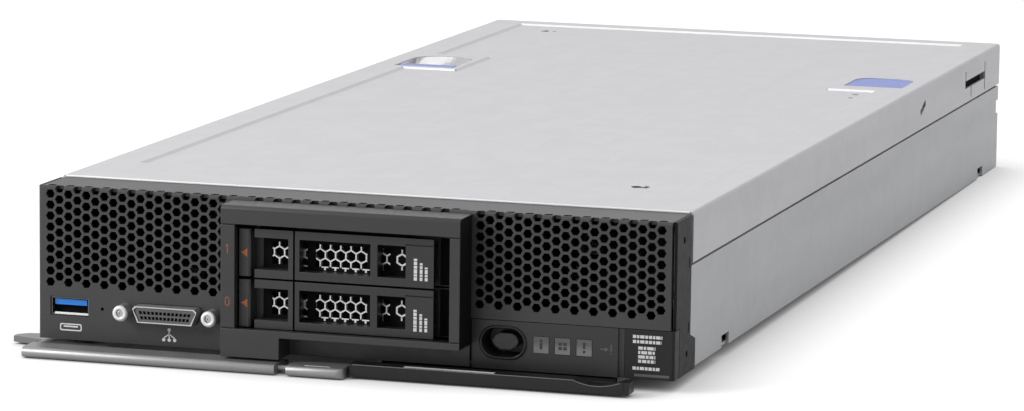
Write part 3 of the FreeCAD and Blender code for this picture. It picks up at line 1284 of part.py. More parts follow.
def heat_sink(y):
    sink = finned(-SINK_HALF, SINK_HALF, y - SINK_LENGTH / 2, y + SINK_LENGTH / 2, PROCESSOR_TOP, SINK_BASE,
                  SINK_TOP, FIN, FIN_PITCH)
    half = SINK_CORNER / 2
    seat = PROCESSOR_TOP + SINK_BASE
    for x, at in sink_screw_places(y):
        sink = sink.cut(box(x - half, x + half, at - half, at + half, seat, SINK_TOP))
    return sink


def sink_screw_places(y):
    x = SINK_HALF - SINK_SCREW_INSET
    at = SINK_LENGTH / 2 - SINK_SCREW_INSET
    return [(sx * x, y + sy * at) for sx in (-1, 1) for sy in (-1, 1)]


def heat_sink_screws():
    seat = PROCESSOR_TOP + SINK_BASE
    screws = []
    for y in ROW_Y:
        for x, at in sink_screw_places(y):
            screws.append(hex_prism_z(x, at, SINK_SCREW_FLATS, seat, seat + SINK_SCREW_HEAD))
    return screws


def dimm_places():
    """X of each memory slot of the right-hand bank."""
    return [HALF - DIMM_INSET - k * DIMM_PITCH for k in range(DIMM_SLOTS)]


def dimm_sockets(way):
    """Sockets with a latch tower at each end, one profile along the slot."""
    half = DIMM_SOCKET_LENGTH / 2
    seat = MODULE_LENGTH / 2 + SEAM
    low = BOARD_TOP + DIMM_SOCKET_HEIGHT
    high = BOARD_TOP + EJECTOR_HEIGHT
    groove = BOARD_TOP + MODULE_SEAT
    half_slot = MODULE_SHEET / 2 + SEAM
    side = [(half, BOARD_TOP), (half, low), (seat + EJECTOR_LENGTH, high), (seat, high), (seat, low)]
    sockets = []
    for y in ROW_Y:
        profile = [(y + dy, z) for dy, z in side] + [(y - dy, z) for dy, z in reversed(side)]
        for x in dimm_places():
            body = prism_x(profile, way * x - DIMM_SOCKET_WIDTH / 2, way * x + DIMM_SOCKET_WIDTH / 2)
            slot = box(way * x - half_slot, way * x + half_slot, y - seat, y + seat, groove, low)
            sockets.append(body.cut(slot))
    return sockets


def memory_modules(way):
    low = BOARD_TOP + MODULE_SEAT
    reach = MODULE_SHEET / 2
    half = MODULE_LENGTH / 2
    modules = []
    for y in ROW_Y:
        for x in dimm_places():
            modules.append(box(way * x - reach, way * x + reach, y - half, y + half, low, MODULE_TOP))
    return modules


def chipset_heat_sink():
    y = (ROW_Y[0] + ROW_Y[1]) / 2
    half = CHIPSET_SIZE / 2
    return finned(-half, half, y - half, y + half, BOARD_TOP, SINK_BASE, BOARD_TOP + CHIPSET_HEIGHT,
                  CHIPSET_FIN, CHIPSET_FIN_PITCH)


def cell_y():
    return BOARD_FRONT + CELL_R + 2 * HOLDER_WALL


def battery_holder():
    reach = CELL_R + HOLDER_WALL
    body = on_board(cell_y(), 2 * reach, 2 * reach, BOARD_TOP, BOARD_TOP + HOLDER_HEIGHT)
    inside = 2 * (CELL_R + SEAM)
    return body.cut(on_board(cell_y(), inside, inside, BOARD_TOP + HOLDER_FLOOR, BOARD_TOP + HOLDER_HEIGHT))


def coin_cell():
    return Part.makeCylinder(CELL_R, CELL_HEIGHT, V(0, cell_y(), BOARD_TOP + HOLDER_FLOOR))


def io_adapter(way):
    """Adapter card on a mezzanine connector, with one cooled chip."""
    x0 = ADAPTER_GAP
    x1 = ADAPTER_GAP + ADAPTER_WIDTH
    rear = REAR_INSIDE - SEAM
    card = box(x0, x1, ADAPTER_FRONT, rear, ADAPTER_UNDER, ADAPTER_UNDER + ADAPTER_BOARD)
    foot = box(FABRIC_X - MEZZANINE_WIDTH / 2, FABRIC_X + MEZZANINE_WIDTH / 2, ADAPTER_FRONT,
               ADAPTER_FRONT + MEZZANINE_DEPTH, BOARD_TOP, ADAPTER_UNDER)
    chip_y = (ADAPTER_FRONT + rear) / 2
    half = ADAPTER_CHIP / 2
    high = ADAPTER_UNDER + ADAPTER_BOARD
    top = high + ADAPTER_CHIP_HEIGHT
    chip = box(FABRIC_X - half, FABRIC_X + half, chip_y - half, chip_y + half, high, top)
    body = fuse(card, foot, chip)
    return body if way > 0 else mirror_x(body)


def slotted_block(x, width, y0, z0, z1):
    """Rear connector housing with a row of contact slots in its rear face."""
    body = box(x - width / 2, x + width / 2, y0, CHASSIS_REAR, z0, z1)
    pitch = width / (BLADE_SLOTS + 1)
    half = BLADE_SLOT / 2
    front = CHASSIS_REAR - BLADE_DEPTH
    for k in range(BLADE_SLOTS):
        at = x - width / 2 + (k + 1) * pitch
        body = body.cut(box(at - half, at + half, front, CHASSIS_REAR, z0 + BLADE_WALL, z1 - BLADE_WALL))
    return body


def fabric_connectors():
    low = ADAPTER_UNDER - FABRIC_HEIGHT
    front = CHASSIS_REAR - FABRIC_DEPTH
    return [slotted_block(x, FABRIC_WIDTH, front, low, ADAPTER_UNDER) for x in (-FABRIC_X, FABRIC_X)]


def power_connector():
    return slotted_block(0, POWER_WIDTH, CHASSIS_REAR - POWER_DEPTH, BOARD_TOP, BOARD_TOP + POWER_HEIGHT)


os.makedirs("parts", exist_ok=True)
save("chassis_tray", chassis_tray())
save("front_pan", front_pan())
save("grille_left", grille_left())
save("grille_right", grille_right())
save("bezel_top", bezel_top())
save("bezel_side_left", bracket_left())
save("bezel_side_right", bracket_right())
save("drive_bay_frame", drive_bay_frame())
save("drive_cage", drive_cage())
save("drive_backplane", backplane())
save("backplane_connectors", *backplane_plugs())
save("operator_panel", operator_panel())
save("status_windows", *status_windows(0))
save("power_button", power_button())
save("label_block", label_block())
save("usb_shell", usb_shell())
save("usb_tongue", usb_tongue())
save("console_shell", console_shell())
save("console_insert", console_insert())
save("console_screwlocks", *console_screwlocks())
save("front_io_board", front_io_board())
save("handle_lever", handle_lever())
save("handle_grip", handle_grip())
save("handle_latch", handle_latch())
save("handle_pivot", handle_pivot())
save("label_tray", label_tray())
save("tray_guides", *tray_guides())
save("top_cover", top_cover())
save("latch_dish", latch_dish())
save("cover_latch", cover_latch())
save("push_point", push_point())
save("system_board", system_board())
save("board_standoffs", *board_standoffs())
save("cpu_sockets", *cpu_sockets())
save("processors", *processors())
save("heat_sink_front", heat_sink(ROW_Y[0]))
save("heat_sink_rear", heat_sink(ROW_Y[1]))
save("heat_sink_screws", *heat_sink_screws())
save("dimm_sockets_left", *dimm_sockets(-1))
save("dimm_sockets_right", *dimm_sockets(1))
save("memory_modules_left", *memory_modules(-1))
save("memory_modules_right", *memory_modules(1))
save("chipset_heat_sink", chipset_heat_sink())
save("battery_holder", battery_holder())
save("coin_cell", coin_cell())
save("io_adapter_left", io_adapter(-1))
save("io_adapter_right", io_adapter(1))
save("fabric_connectors", *fabric_connectors())
save("power_connector", power_connector())
for index, level in enumerate(SLED_Z):
    save(f"drive_sled_{index}", drive_sled(level))
    save(f"disk_drive_{index}", disk_drive(level))
    save(f"drive_honeycomb_{index}", drive_comb(level))
    save(f"drive_handle_{index}", drive_handle(level))
    save(f"drive_latch_{index}", drive_latch(level))
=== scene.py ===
import json
import math

import bmesh
import bpy
from mathutils import Matrix, Vector


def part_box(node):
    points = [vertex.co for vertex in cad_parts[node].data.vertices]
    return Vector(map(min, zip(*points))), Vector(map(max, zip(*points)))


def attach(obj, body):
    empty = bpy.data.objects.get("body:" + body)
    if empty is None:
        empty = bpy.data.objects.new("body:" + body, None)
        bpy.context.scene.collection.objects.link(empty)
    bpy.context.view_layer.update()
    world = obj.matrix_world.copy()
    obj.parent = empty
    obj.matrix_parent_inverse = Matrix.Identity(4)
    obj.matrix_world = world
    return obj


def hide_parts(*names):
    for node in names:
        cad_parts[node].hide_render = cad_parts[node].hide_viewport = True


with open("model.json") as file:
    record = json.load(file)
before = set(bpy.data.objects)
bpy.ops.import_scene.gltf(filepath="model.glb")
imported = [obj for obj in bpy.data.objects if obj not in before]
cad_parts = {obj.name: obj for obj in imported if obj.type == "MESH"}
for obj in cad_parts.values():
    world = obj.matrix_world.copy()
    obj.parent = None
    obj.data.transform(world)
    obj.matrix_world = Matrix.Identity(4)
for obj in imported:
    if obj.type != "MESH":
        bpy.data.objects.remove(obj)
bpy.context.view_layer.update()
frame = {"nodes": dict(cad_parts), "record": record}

# Looks of a half-width blade server in the frame of the CAD: X to the right, Y to the rear, Z up.
# Lengths are in millimetres, but in metres for the floor, the lamps and the camera's place and near limit.
MM = 0.001

# Camera fitted to the photograph's view, with its angles in radians
CAMERA_PLACE = Vector((0.50641, -1.45659, 0.28964))
CAMERA_YAW = -0.301382
CAMERA_PITCH = -0.154530
CAMERA_ROLL = 0.0117634
CAMERA_LENS = 172.22
CAMERA_SENSOR = 36.0
CAMERA_NEAR = 0.01

# Table the blade rests on: it touches the cam handle in front and the chassis at the rear
FLOOR_FRONT = Vector((0.0, 0.014, -0.00466))
FLOOR_REAR = Vector((0.0, 0.4918, -0.0001))
FLOOR_REACH = 6.0
FLOOR_TONE = 0.4
FLOOR_ROUGHNESS = 0.9
FLOOR_GLOW = 0.8
FLOOR_SHADE = 0.03

# Light: a soft box in front to the left, another overhead, and a grey fill all round
FILL = 0.29
LIGHT_AIM = Vector((0.0, 0.12, 0.02))
KEY_PLACE = Vector((-0.98, -0.67, 0.64))
KEY_SIZE = 0.6
KEY_POWER = 17.0
OVERHEAD_PLACE = Vector((0.2, 0.8, 1.8))
OVERHEAD_SIZE = 2.0
OVERHEAD_POWER = 13.0

# Directions (across, along, out) of the faces that carry details
FRONT = (Vector((1, 0, 0)), Vector((0, 0, 1)), Vector((0, -1, 0)))
TOP = (Vector((1, 0, 0)), Vector((0, 1, 0)), Vector((0, 0, 1)))
RIGHT = (Vector((0, 1, 0)), Vector((0, 0, 1)), Vector((1, 0, 0)))
LEFT = (Vector((0, -1, 0)), Vector((0, 0, 1)), Vector((-1, 0, 0)))
ORIGIN = (0, 0, 0)

# Thickness of ink, of the black sheets of painted shade and of a thinner black sheet of painted shade
PRINT = 0.04
SHADE_FILM = 0.2
SHADE_MASK = 0.12

# Moulded CAD nodes that get rounded edges, and the width of these and of the drive handles' edges
MOULDINGS = ("drive_bay_frame", "operator_panel", "label_block", "label_tray", "handle_grip", "handle_latch")
MOULDED_EDGE = 0.22
HANDLE_EDGE = 0.15

# Sizes of the CAD that the box of a node doesn't give
COMB_PITCH = 3.45
COMB_WEB = 0.45
PANEL_SHEET = 1.2
WALL_INNER = 105.3
WALL_OUTER = 106.3
MODULE_LENGTH = 133.35
MODULE_THICK = 1.3
MODULE_PITCH = 8.0
ADAPTER_DECK = 25.2
ADAPTER_CHIP = 22.0

# The cover's raised margins and pads: their height, and where their edges are along X or Y
COVER_STEP = 0.7
COVER_MARGIN = 94.0
REAR_MARGIN = 484.0
LATCH_PAD = 72.5
PUSH_PAD = 75.5
PAD_FRONT = 330.0
PAD_REAR = 372.0


def rgb(red, green, blue):
    """An sRGB colour, 0 to 255, as linear values."""
    def linear(value):
        value /= 255
        return value / 12.92 if value <= 0.04045 else ((value + 0.055) / 1.055) ** 2.4
    return linear(red), linear(green), linear(blue), 1.0


def grey(level):
    """A slightly cool grey."""
    return rgb(level, level, level + 1)


def shade(colour, factor):
    return tuple(channel * factor for channel in colour[:3]) + (1.0,)


def add_object(name, data):
    """A new object in the scene."""
    made = bpy.data.objects.new(name, data)
    bpy.context.scene.collection.objects.link(made)
    return made


def fill(node, values):
    """Values on the inputs of a shader node."""
    for socket, value in values.items():
        node.inputs[socket].default_value = value


def math_node(tree, operation, *values):
    """Output of a math node that is fed by sockets or plain numbers."""
    node = tree.nodes.new("ShaderNodeMath")
    node.operation = operation
    for socket, value in zip(node.inputs, values):
        if isinstance(value, float):
            socket.default_value = value
        else:
            tree.links.new(value, socket)
    return node.outputs[0]


class Shader:
    """A node material built up from one principled surface."""

    # Range that most values of a noise fall in
    NOISE_LOW = 0.3
    NOISE_HIGH = 0.7

    # Largest Z of the normal on an upright face, and the width of a border between two colours
    UPRIGHT_Z = 0.3
    BORDER = 0.05

    def __init__(self, name, colour, roughness, metallic=0.0, specular=0.5):
        self.material = bpy.data.materials.new(name)
        self.material.use_nodes = True
        self.tree = self.material.node_tree
        self.surface = self.tree.nodes["Principled BSDF"]
        self.place = self.add("ShaderNodeTexCoord").outputs["Object"]
        self.colour = colour
        fill(self.surface, {"Base Color": colour, "Roughness": roughness, "Metallic": metallic,
                            "Specular IOR Level": specular})

    def add(self, kind, values=None):
        node = self.tree.nodes.new(kind)
        fill(node, values or {})
        return node

    def link(self, source, target):
        self.tree.links.new(source, target)

    def noise(self, grain, detail=3.0, stretch=(1, 1, 1)):
        """Noise with features of about grain millimetres, longer along the stretched axes."""
        scales = [1 / (grain * MM * s) for s in stretch]
        mapping = self.add("ShaderNodeMapping", {"Scale": scales})
        self.link(self.place, mapping.inputs["Vector"])
        texture = self.add("ShaderNodeTexNoise", {"Scale": 1.0, "Detail": detail})
        self.link(mapping.outputs["Vector"], texture.inputs["Vector"])
        return texture.outputs["Fac"]

    def cells(self, size):
        """One random value per crystal of about size millimetres."""
        texture = self.add("ShaderNodeTexVoronoi", {"Scale": 1 / (size * MM)})
        self.link(self.place, texture.inputs["Vector"])
        return texture.outputs["Color"]

    def component(self, vector, axis):
        split = self.add("ShaderNodeSeparateXYZ")
        self.link(vector, split.inputs["Vector"])
        return split.outputs[axis]

    def rise(self, axis, start, end):
        """0 to 1 from start to end millimetres along an axis of the object."""
        scale = self.add("ShaderNodeMapRange", {"From Min": start * MM, "From Max": end * MM})
        self.link(self.component(self.place, axis), scale.inputs["Value"])
        return scale.outputs["Result"]

    def upright(self, start):
        """1 on upright faces behind start millimetres along Y."""
        normal = self.add("ShaderNodeNewGeometry").outputs["Normal"]
        slope = math_node(self.tree, "ABSOLUTE", self.component(normal, "Z"))
        steep = math_node(self.tree, "LESS_THAN", slope, self.UPRIGHT_Z)
        return math_node(self.tree, "MULTIPLY", steep, self.rise("Y", start, start + self.BORDER))

    def tint(self, factor, low, high):
        """Base colour from low to high times the material's own colour."""
        ramp = self.add("ShaderNodeValToRGB")
        first, last = ramp.color_ramp.elements
        first.position = self.NOISE_LOW
        last.position = self.NOISE_HIGH
        first.color = shade(self.colour, low)
        last.color = shade(self.colour, high)
        self.link(factor, ramp.inputs["Fac"])
        self.link(ramp.outputs["Color"], self.surface.inputs["Base Color"])

    def cover_with(self, factor, colour):
        """Another base colour where factor is 1."""
        mix = self.add("ShaderNodeMix")
        mix.data_type = "RGBA"
        below = self.surface.inputs["Base Color"].links[0].from_socket
        self.link(factor, mix.inputs["Factor"])
        self.link(below, mix.inputs["A"])
        mix.inputs["B"].default_value = colour
        self.link(mix.outputs["Result"], self.surface.inputs["Base Color"])

    def roughen(self, factor, low, high):
        """Roughness from low to high."""
        limits = {"From Min": self.NOISE_LOW, "From Max": self.NOISE_HIGH, "To Min": low, "To Max": high}
        scale = self.add("ShaderNodeMapRange", limits)
        self.link(factor, scale.inputs["Value"])
        self.link(scale.outputs["Result"], self.surface.inputs["Roughness"])

    def bump(self, height, depth, strength):
        """Relief of about depth millimetres."""
        node = self.add("ShaderNodeBump", {"Strength": strength, "Distance": depth * MM})
        self.link(height, node.inputs["Height"])
        self.link(node.outputs["Normal"], self.surface.inputs["Normal"])


def powder_coat(name, colour, roughness=0.45, specular=0.5):
    """Fine textured dark paint on sheet metal."""
    shader = Shader(name, colour, roughness, specular=specular)
    shader.tint(shader.noise(grain=14, detail=4), low=0.92, high=1.08)
    shader.roughen(shader.noise(grain=3), low=roughness - 0.05, high=roughness + 0.05)
    shader.bump(shader.noise(grain=0.45, detail=2), depth=0.02, strength=0.4)
    return shader.material


def flange_coat_and_notch_shade(name, colour, notch_shade, shade_start):
    """Paint on the bezel's flange, with painted shade on the upright cut faces in the notches behind its
    front sheet.
    """
    shader = Shader(name, colour, roughness=0.45)
    shader.tint(shader.noise(grain=14, detail=4), low=0.92, high=1.08)
    # Painted shade: near-black on the upright faces in the notches behind the front sheet
    shader.cover_with(shader.upright(shade_start), notch_shade)
    shader.bump(shader.noise(grain=0.45, detail=2), depth=0.02, strength=0.4)
    return shader.material


def moulded(name, colour, roughness=0.45, specular=0.5):
    """Moulded plastic with a fine grain."""
    shader = Shader(name, colour, roughness, specular=specular)
    shader.tint(shader.noise(grain=9, detail=4), low=0.94, high=1.06)
    shader.roughen(shader.noise(grain=2), low=roughness - 0.05, high=roughness + 0.05)
    shader.bump(shader.noise(grain=0.3, detail=2), depth=0.01, strength=0.3)
    return shader.material


def zinc_sheet(name, colour, spangle=6.0, metallic=0.3, roughness=0.45):
    """Zinc-plated sheet: faint crystals and a rolling direction along Y."""
    shader = Shader(name, colour, roughness, metallic)
    shader.tint(shader.cells(spangle), low=0.985, high=1.015)
    shader.roughen(shader.noise(grain=8, stretch=(1, 8, 1)), low=roughness - 0.03, high=roughness + 0.04)
    shader.bump(shader.noise(grain=0.8, detail=2, stretch=(1, 6, 1)), depth=0.004, strength=0.2)
    return shader.material


def bright_metal(name, colour, roughness=0.25, metallic=0.9, stretch=(8, 1, 1)):
    """Plated or extruded metal with fine drawing lines."""
    shader = Shader(name, colour, roughness, metallic)
    shader.tint(shader.noise(grain=4, detail=4, stretch=stretch), low=0.95, high=1.05)
    shader.roughen(shader.noise(grain=1.5, stretch=stretch), low=roughness - 0.05, high=roughness + 0.06)
    shader.bump(shader.noise(grain=0.3, detail=2, stretch=stretch), depth=0.005, strength=0.25)
    return shader.material


def circuit_board(name, colour):
    """Solder resist with faint conductor runs under it."""
    shader = Shader(name, colour, roughness=0.35)
    runs = shader.noise(grain=1.2, detail=1, stretch=(1, 14, 1))
    shader.tint(runs, low=0.8, high=1.25)
    shader.roughen(shader.noise(grain=5), low=0.3, high=0.42)
    shader.bump(runs, depth=0.02, strength=0.4)
    return shader.material


def printed(name, colour):
    """Ink or a thin film on a moulded face."""
    shader = Shader(name, colour, roughness=0.45, specular=0.3)
    shader.tint(shader.noise(grain=1.5), low=0.95, high=1.05)
    shader.bump(shader.noise(grain=0.25), depth=0.005, strength=0.3)
    return shader.material


def window_with_painted_light(name, colour, node):
    """Translucent window with painted light, paler towards the lower edge of its node."""
    low, high = box_mm(node)
    shader = Shader(name, colour, roughness=0.35)
    shader.tint(shader.rise("Z", high.z, low.z), low=0.7, high=1.35)
    shader.bump(shader.noise(grain=0.4), depth=0.005, strength=0.2)
    return shader.material


def box_mm(node):
    low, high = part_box(node)
    return low / MM, high / MM


def middle(node):
    low, high = box_mm(node)
    return (low + high) / 2


# Looks of the record's material slots
LOOKS = {
    "bezel_paint": powder_coat("bezel_paint", grey(49)),
    "bezel_plastic": moulded("bezel_plastic", grey(39)),
    "tray_plastic": moulded("tray_plastic", grey(14), roughness=0.38, specular=0.35),
    "zinc_steel": zinc_sheet("zinc_steel", rgb(190, 191, 193)),
    "cover_steel": zinc_sheet("cover_steel", rgb(197, 196, 200), spangle=9.0, metallic=0.35, roughness=0.42),
    "touch_blue": moulded("touch_blue", rgb(112, 132, 208), roughness=0.4),
    "drive_case": bright_metal("drive_case", grey(170), roughness=0.35),
    "honeycomb_steel": bright_metal("honeycomb_steel", grey(205), roughness=0.3, metallic=0.6),
    "handle_metal": bright_metal("handle_metal", grey(142), roughness=0.46, metallic=0.7),
    "window_grey": window_with_painted_light("window_grey", grey(108), "status_windows"),
    "connector_shell": bright_metal("connector_shell", grey(184), roughness=0.3, metallic=0.75),
    "usb_blue": moulded("usb_blue", rgb(40, 128, 222), roughness=0.35),
    "connector_black": moulded("connector_black", grey(30)),
    "board_green": circuit_board("board_green", rgb(26, 84, 52)),
    "sink_aluminium": bright_metal("sink_aluminium", grey(198), roughness=0.35, stretch=(1, 8, 1)),
}

# Looks of single nodes and of the added pieces
INK_ORANGE = printed("ink_orange", rgb(158, 96, 64))
MARK_ORANGE = printed("mark_orange", rgb(226, 134, 80))
INK_WHITE = printed("ink_white", grey(226))
INK_DARK = printed("ink_dark", grey(58))
INK_GREY = printed("ink_grey", grey(98))
# Grey for the cover's small studs and for the painted highlight along the tray's edge
HIGHLIGHT_AND_MARK_GREY = printed("highlight_and_mark_grey", grey(120))
GLOSS_BLACK = moulded("gloss_black", grey(18), roughness=0.35, specular=0.35)
# Near-black: the console insert's own colour, and the colour of the sheets and parts of painted shade
BLACK_COAT_AND_SHADE = moulded("black_coat_and_shade", grey(10), roughness=0.8, specular=0.1)
PANEL_DARK = moulded("panel_dark", grey(29), roughness=0.42)
HANDLE_BLACK = moulded("handle_black", grey(24), roughness=0.42)
SLED_GREY = moulded("sled_grey", grey(36), roughness=0.42)
BRACKET_PAINT = powder_coat("bracket_paint", grey(46), roughness=0.6, specular=0.15)
LEVER_STEEL = bright_metal("lever_steel", grey(118), roughness=0.36, metallic=0.8)
SHELL_DARK = bright_metal("shell_dark", grey(92), roughness=0.3, metallic=0.8)
BUTTON_GREY = moulded("button_grey", grey(66), roughness=0.42)
FACE_GREY = moulded("face_grey", grey(88), roughness=0.4)
# Bright plating on the screwlocks, also used as painted highlight on the honeycomb's sill and the USB lip
PLATED_WHITE_AND_HIGHLIGHT = bright_metal("plated_white_and_highlight", grey(236), roughness=0.3, metallic=0.2)
# Near-white painted highlight on the cover's hem and steps
PAINTED_HIGHLIGHT = bright_metal("painted_highlight", grey(240), roughness=0.35, metallic=0.15)
DISH_SILVER = bright_metal("dish_silver", grey(186), roughness=0.16, metallic=0.75, stretch=(1, 1, 1))
CHIP_BLACK = moulded("chip_black", grey(38), roughness=0.5)
CAN_METAL = bright_metal("can_metal", grey(190), roughness=0.3)
BLOCK_DARK = moulded("block_dark", grey(40), roughness=0.55, specular=0.2)
LATCH_GREY = moulded("latch_grey", grey(52), roughness=0.42)
# Flange paint with painted shade in the notches behind the front sheet
FLANGE_PAINT_AND_SHADE = flange_coat_and_notch_shade("flange_paint_and_shade", grey(49), notch_shade=grey(4), shade_start=PANEL_SHEET + 0.02)
NODE_LOOKS = {
    "bezel_top": FLANGE_PAINT_AND_SHADE,
    "power_button": BUTTON_GREY,
    "operator_panel": PANEL_DARK,
    "label_block": BLOCK_DARK,
    # Painted shade: the drive cage is near-black so the inside seen through the grilles is dark
    "drive_cage": BLACK_COAT_AND_SHADE,
    "drive_handle_0": HANDLE_BLACK,
    "drive_handle_1": HANDLE_BLACK,
    "drive_latch_0": LATCH_GREY,
    "drive_latch_1": LATCH_GREY,
    "drive_sled_0": SLED_GREY,
    "drive_sled_1": SLED_GREY,
    "bezel_side_left": BRACKET_PAINT,
    "bezel_side_right": BRACKET_PAINT,
    "handle_lever": LEVER_STEEL,
    "usb_shell": SHELL_DARK,
    "console_insert": BLACK_COAT_AND_SHADE,
}


def circle(radius, count=24):
    turns = [2 * math.pi * k / count for k in range(count)]
    return [(radius * math.cos(t), radius * math.sin(t)) for t in turns]


def hexagon(radius):
    """Hexagon with a corner at the top."""
    return [(v, u) for u, v in circle(radius, 6)]


def span(u0, u1, v0, v1):
    return [(u0, v0), (u1, v0), (u1, v1), (u0, v1)]


def rectangle(width, height):
    return span(-width / 2, width / 2, -height / 2, height / 2)


def rounded(width, height, radius, steps=5):
    """Rectangle with rounded corners, from the lower right corner round to the left."""
    points = []
    for quarter, (sx, sy) in enumerate([(1, -1), (1, 1), (-1, 1), (-1, -1)]):
        cx = sx * (width / 2 - radius)
        cy = sy * (height / 2 - radius)
        for k in range(steps + 1):
            turn = math.pi / 2 * (quarter - 1 + k / steps)
            points.append((cx + radius * math.cos(turn), cy + radius * math.sin(turn)))
    return points


def oval(width, height, steps=5):
    """Rectangle with round ends, whose arcs stop just short of each other."""
    return rounded(width, height, min(width, height) / 2 - 0.01, steps)


def moved(outline, across, along):
    return [(u + across, v + along) for u, v in outline]


def dashes(length, sizes=(1.1, 0.7, 1.4, 0.9), gap=0.3):
    """Starts and ends of the plain dashes that fill a line."""
    spans = []
    start = 0.0
    while start < length:
        end = min(start + sizes[len(spans) % len(sizes)], length)
        spans.append((start, end))
        start = end + gap
    return spans


class Piece:
    """Solids gathered into one mesh, each set out on a face of the object."""

    # Corners of a lattice cell, and the way to each neighbour with the ends of the side they share
    CORNERS = ((0, 0), (1, 0), (1, 1), (0, 1))
    SIDES = (
        ((-1, 0), ((0, 0), (0, 1))),
        ((1, 0), ((1, 0), (1, 1))),
        ((0, -1), ((0, 0), (1, 0))),
        ((0, 1), ((0, 1), (1, 1))),
    )

    # Depth of a surface's flat underside below its lowest point
    SKIRT = 0.4

    def __init__(self):
        self.mesh = bmesh.new()

    def ring(self, outline, plane, origin, lift):
        across, along, out = plane
        base = Vector(origin) + out * lift
        return [self.mesh.verts.new((base + across * u + along * v) * MM) for u, v in outline]

    def join(self, first, second):
        count = len(first)
        for k in range(count):
            after = (k + 1) % count
            self.mesh.faces.new((first[k], first[after], second[after], second[k]))

    def slab(self, outline, plane, origin, thick, bevel=0.0):
        """A plate that stands thick above its face, with its upper edge rounded by bevel."""
        low = self.ring(outline, plane, origin, 0)
        high = self.ring(outline, plane, origin, thick)
        self.join(low, high)
        self.mesh.faces.new(low[::-1])
        cap = self.mesh.faces.new(high)
        if bevel:
            bmesh.ops.bevel(self.mesh, geom=list(cap.edges), offset=bevel * MM, segments=2, profile=0.5,
                            affect="EDGES")

    def ink(self, outline, origin, x=0, z=0):
        """A print on a face towards the front, moved by x and z."""
        self.slab(moved(outline, x, z), FRONT, origin, PRINT)

    def hoop(self, section, plane, origin):
        """A closed ring from (outline, lift) pairs that follow its section round."""
        rings = [self.ring(outline, plane, origin, lift) for outline, lift in section]
        for k in range(len(rings)):
            self.join(rings[k], rings[(k + 1) % len(rings)])

    def border(self, outer, inner, plane, origin, thick):
        """A flat ring between two outlines with as many points."""
        self.hoop([(outer, 0), (outer, thick), (inner, thick), (inner, 0)], plane, origin)

    def lathe(self, profile, plane, origin, stretch=0.0, count=24):
        """A turned solid from (radius, lift) points, closed at both ends and drawn out along by stretch."""
        rings = []
        for radius, lift in profile:
            outline = [(u, v + math.copysign(stretch / 2, v)) for u, v in circle(radius, count)]
            rings.append(self.ring(outline, plane, origin, lift))
        for low, high in zip(rings, rings[1:]):
            self.join(low, high)
        self.mesh.faces.new(rings[0][::-1])
        self.mesh.faces.new(rings[-1])

    def lattice(self, cuts_u, cuts_v, holes, plane, origin, thick, taper=0.0):
        """A plate cut into cells, open at those in holes, wider by taper for each millimetre along."""
        corners = {}

        def corner(i, j, lift):
            if (i, j, lift) not in corners:
                point = (cuts_u[i] * (1 + taper * cuts_v[j]), cuts_v[j])
                corners[i, j, lift] = self.ring([point], plane, origin, lift)[0]
            return corners[i, j, lift]

        grid = [(i, j) for i in range(len(cuts_u) - 1) for j in range(len(cuts_v) - 1)]
        cells = [cell for cell in grid if cell not in holes]
        for i, j in cells:
            for lift in (0, thick):
                self.mesh.faces.new([corner(i + a, j + b, lift) for a, b in self.CORNERS])
            for (di, dj), ((a, b), (c, d)) in self.SIDES:
                if (i + di, j + dj) not in cells:
                    self.mesh.faces.new((corner(i + a, j + b, 0), corner(i + c, j + d, 0),
                                         corner(i + c, j + d, thick), corner(i + a, j + b, thick)))

    def ribbon(self, path, width, plane, origin, thick):
        """A band of an even width below an open path."""
        loops = []
        for u, v in path:
            section = (((u, v), 0), ((u, v), thick), ((u, v - width), thick), ((u, v - width), 0))
            loops.append([self.ring([point], plane, origin, lift)[0] for point, lift in section])
        for first, second in zip(loops, loops[1:]):
            self.join(first, second)
        self.mesh.faces.new(loops[0][::-1])
        self.mesh.faces.new(loops[-1])

    def surface(self, rows):
        """A closed body between a grid of points and a flat underside."""
        bottom = min(point[2] for row in rows for point in row) - self.SKIRT
        upper = [[self.mesh.verts.new(Vector(point) * MM) for point in row] for row in rows]
        for first, second in zip(upper, upper[1:]):
            for k in range(len(first) - 1):
                self.mesh.faces.new((first[k], first[k + 1], second[k + 1], second[k]))
        ends = [row[-1] for row in upper[1:-1]]
        starts = [row[0] for row in upper[-2:0:-1]]
        edge = upper[0] + ends + upper[-1][::-1] + starts
        skirt = [self.mesh.verts.new((v.co.x, v.co.y, bottom * MM)) for v in edge]
        self.join(edge, skirt)
        self.mesh.faces.new(skirt)

    def done(self, name, material, body, smooth=False):
        """The finished object, riding on a body."""
        bmesh.ops.recalc_face_normals(self.mesh, faces=self.mesh.faces)
        for face in self.mesh.faces:
            face.smooth = smooth
        data = bpy.data.meshes.new(name)
        self.mesh.to_mesh(data)
        self.mesh.free()
        data.materials.append(material)
        piece = add_object(name, data)
        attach(piece, body)
        return piece


def dress_nodes():
    """Node materials on every CAD node."""
    for part in frame["record"]["subparts"]:
        node = part["node"]
        target = frame["nodes"][node]
        target.data.materials.clear()
        target.data.materials.append(NODE_LOOKS.get(node, LOOKS[part["material_slot"]]))


def soften(node, width):
    """Fine rounded edges on a CAD node, whose flat faces are joined first."""
    target = frame["nodes"][node]
    weld = target.modifiers.new("weld", "WELD")
    weld.merge_threshold = 0.002 * MM
    flats = target.modifiers.new("flats", "DECIMATE")
    flats.decimate_type = "DISSOLVE"
    flats.angle_limit = math.radians(0.5)
    bevel = target.modifiers.new("bevel", "BEVEL")
    bevel.width = width * MM
    bevel.segments = 2
    bevel.limit_method = "ANGLE"
    bevel.angle_limit = math.radians(35)
    bevel.use_clamp_overlap = True


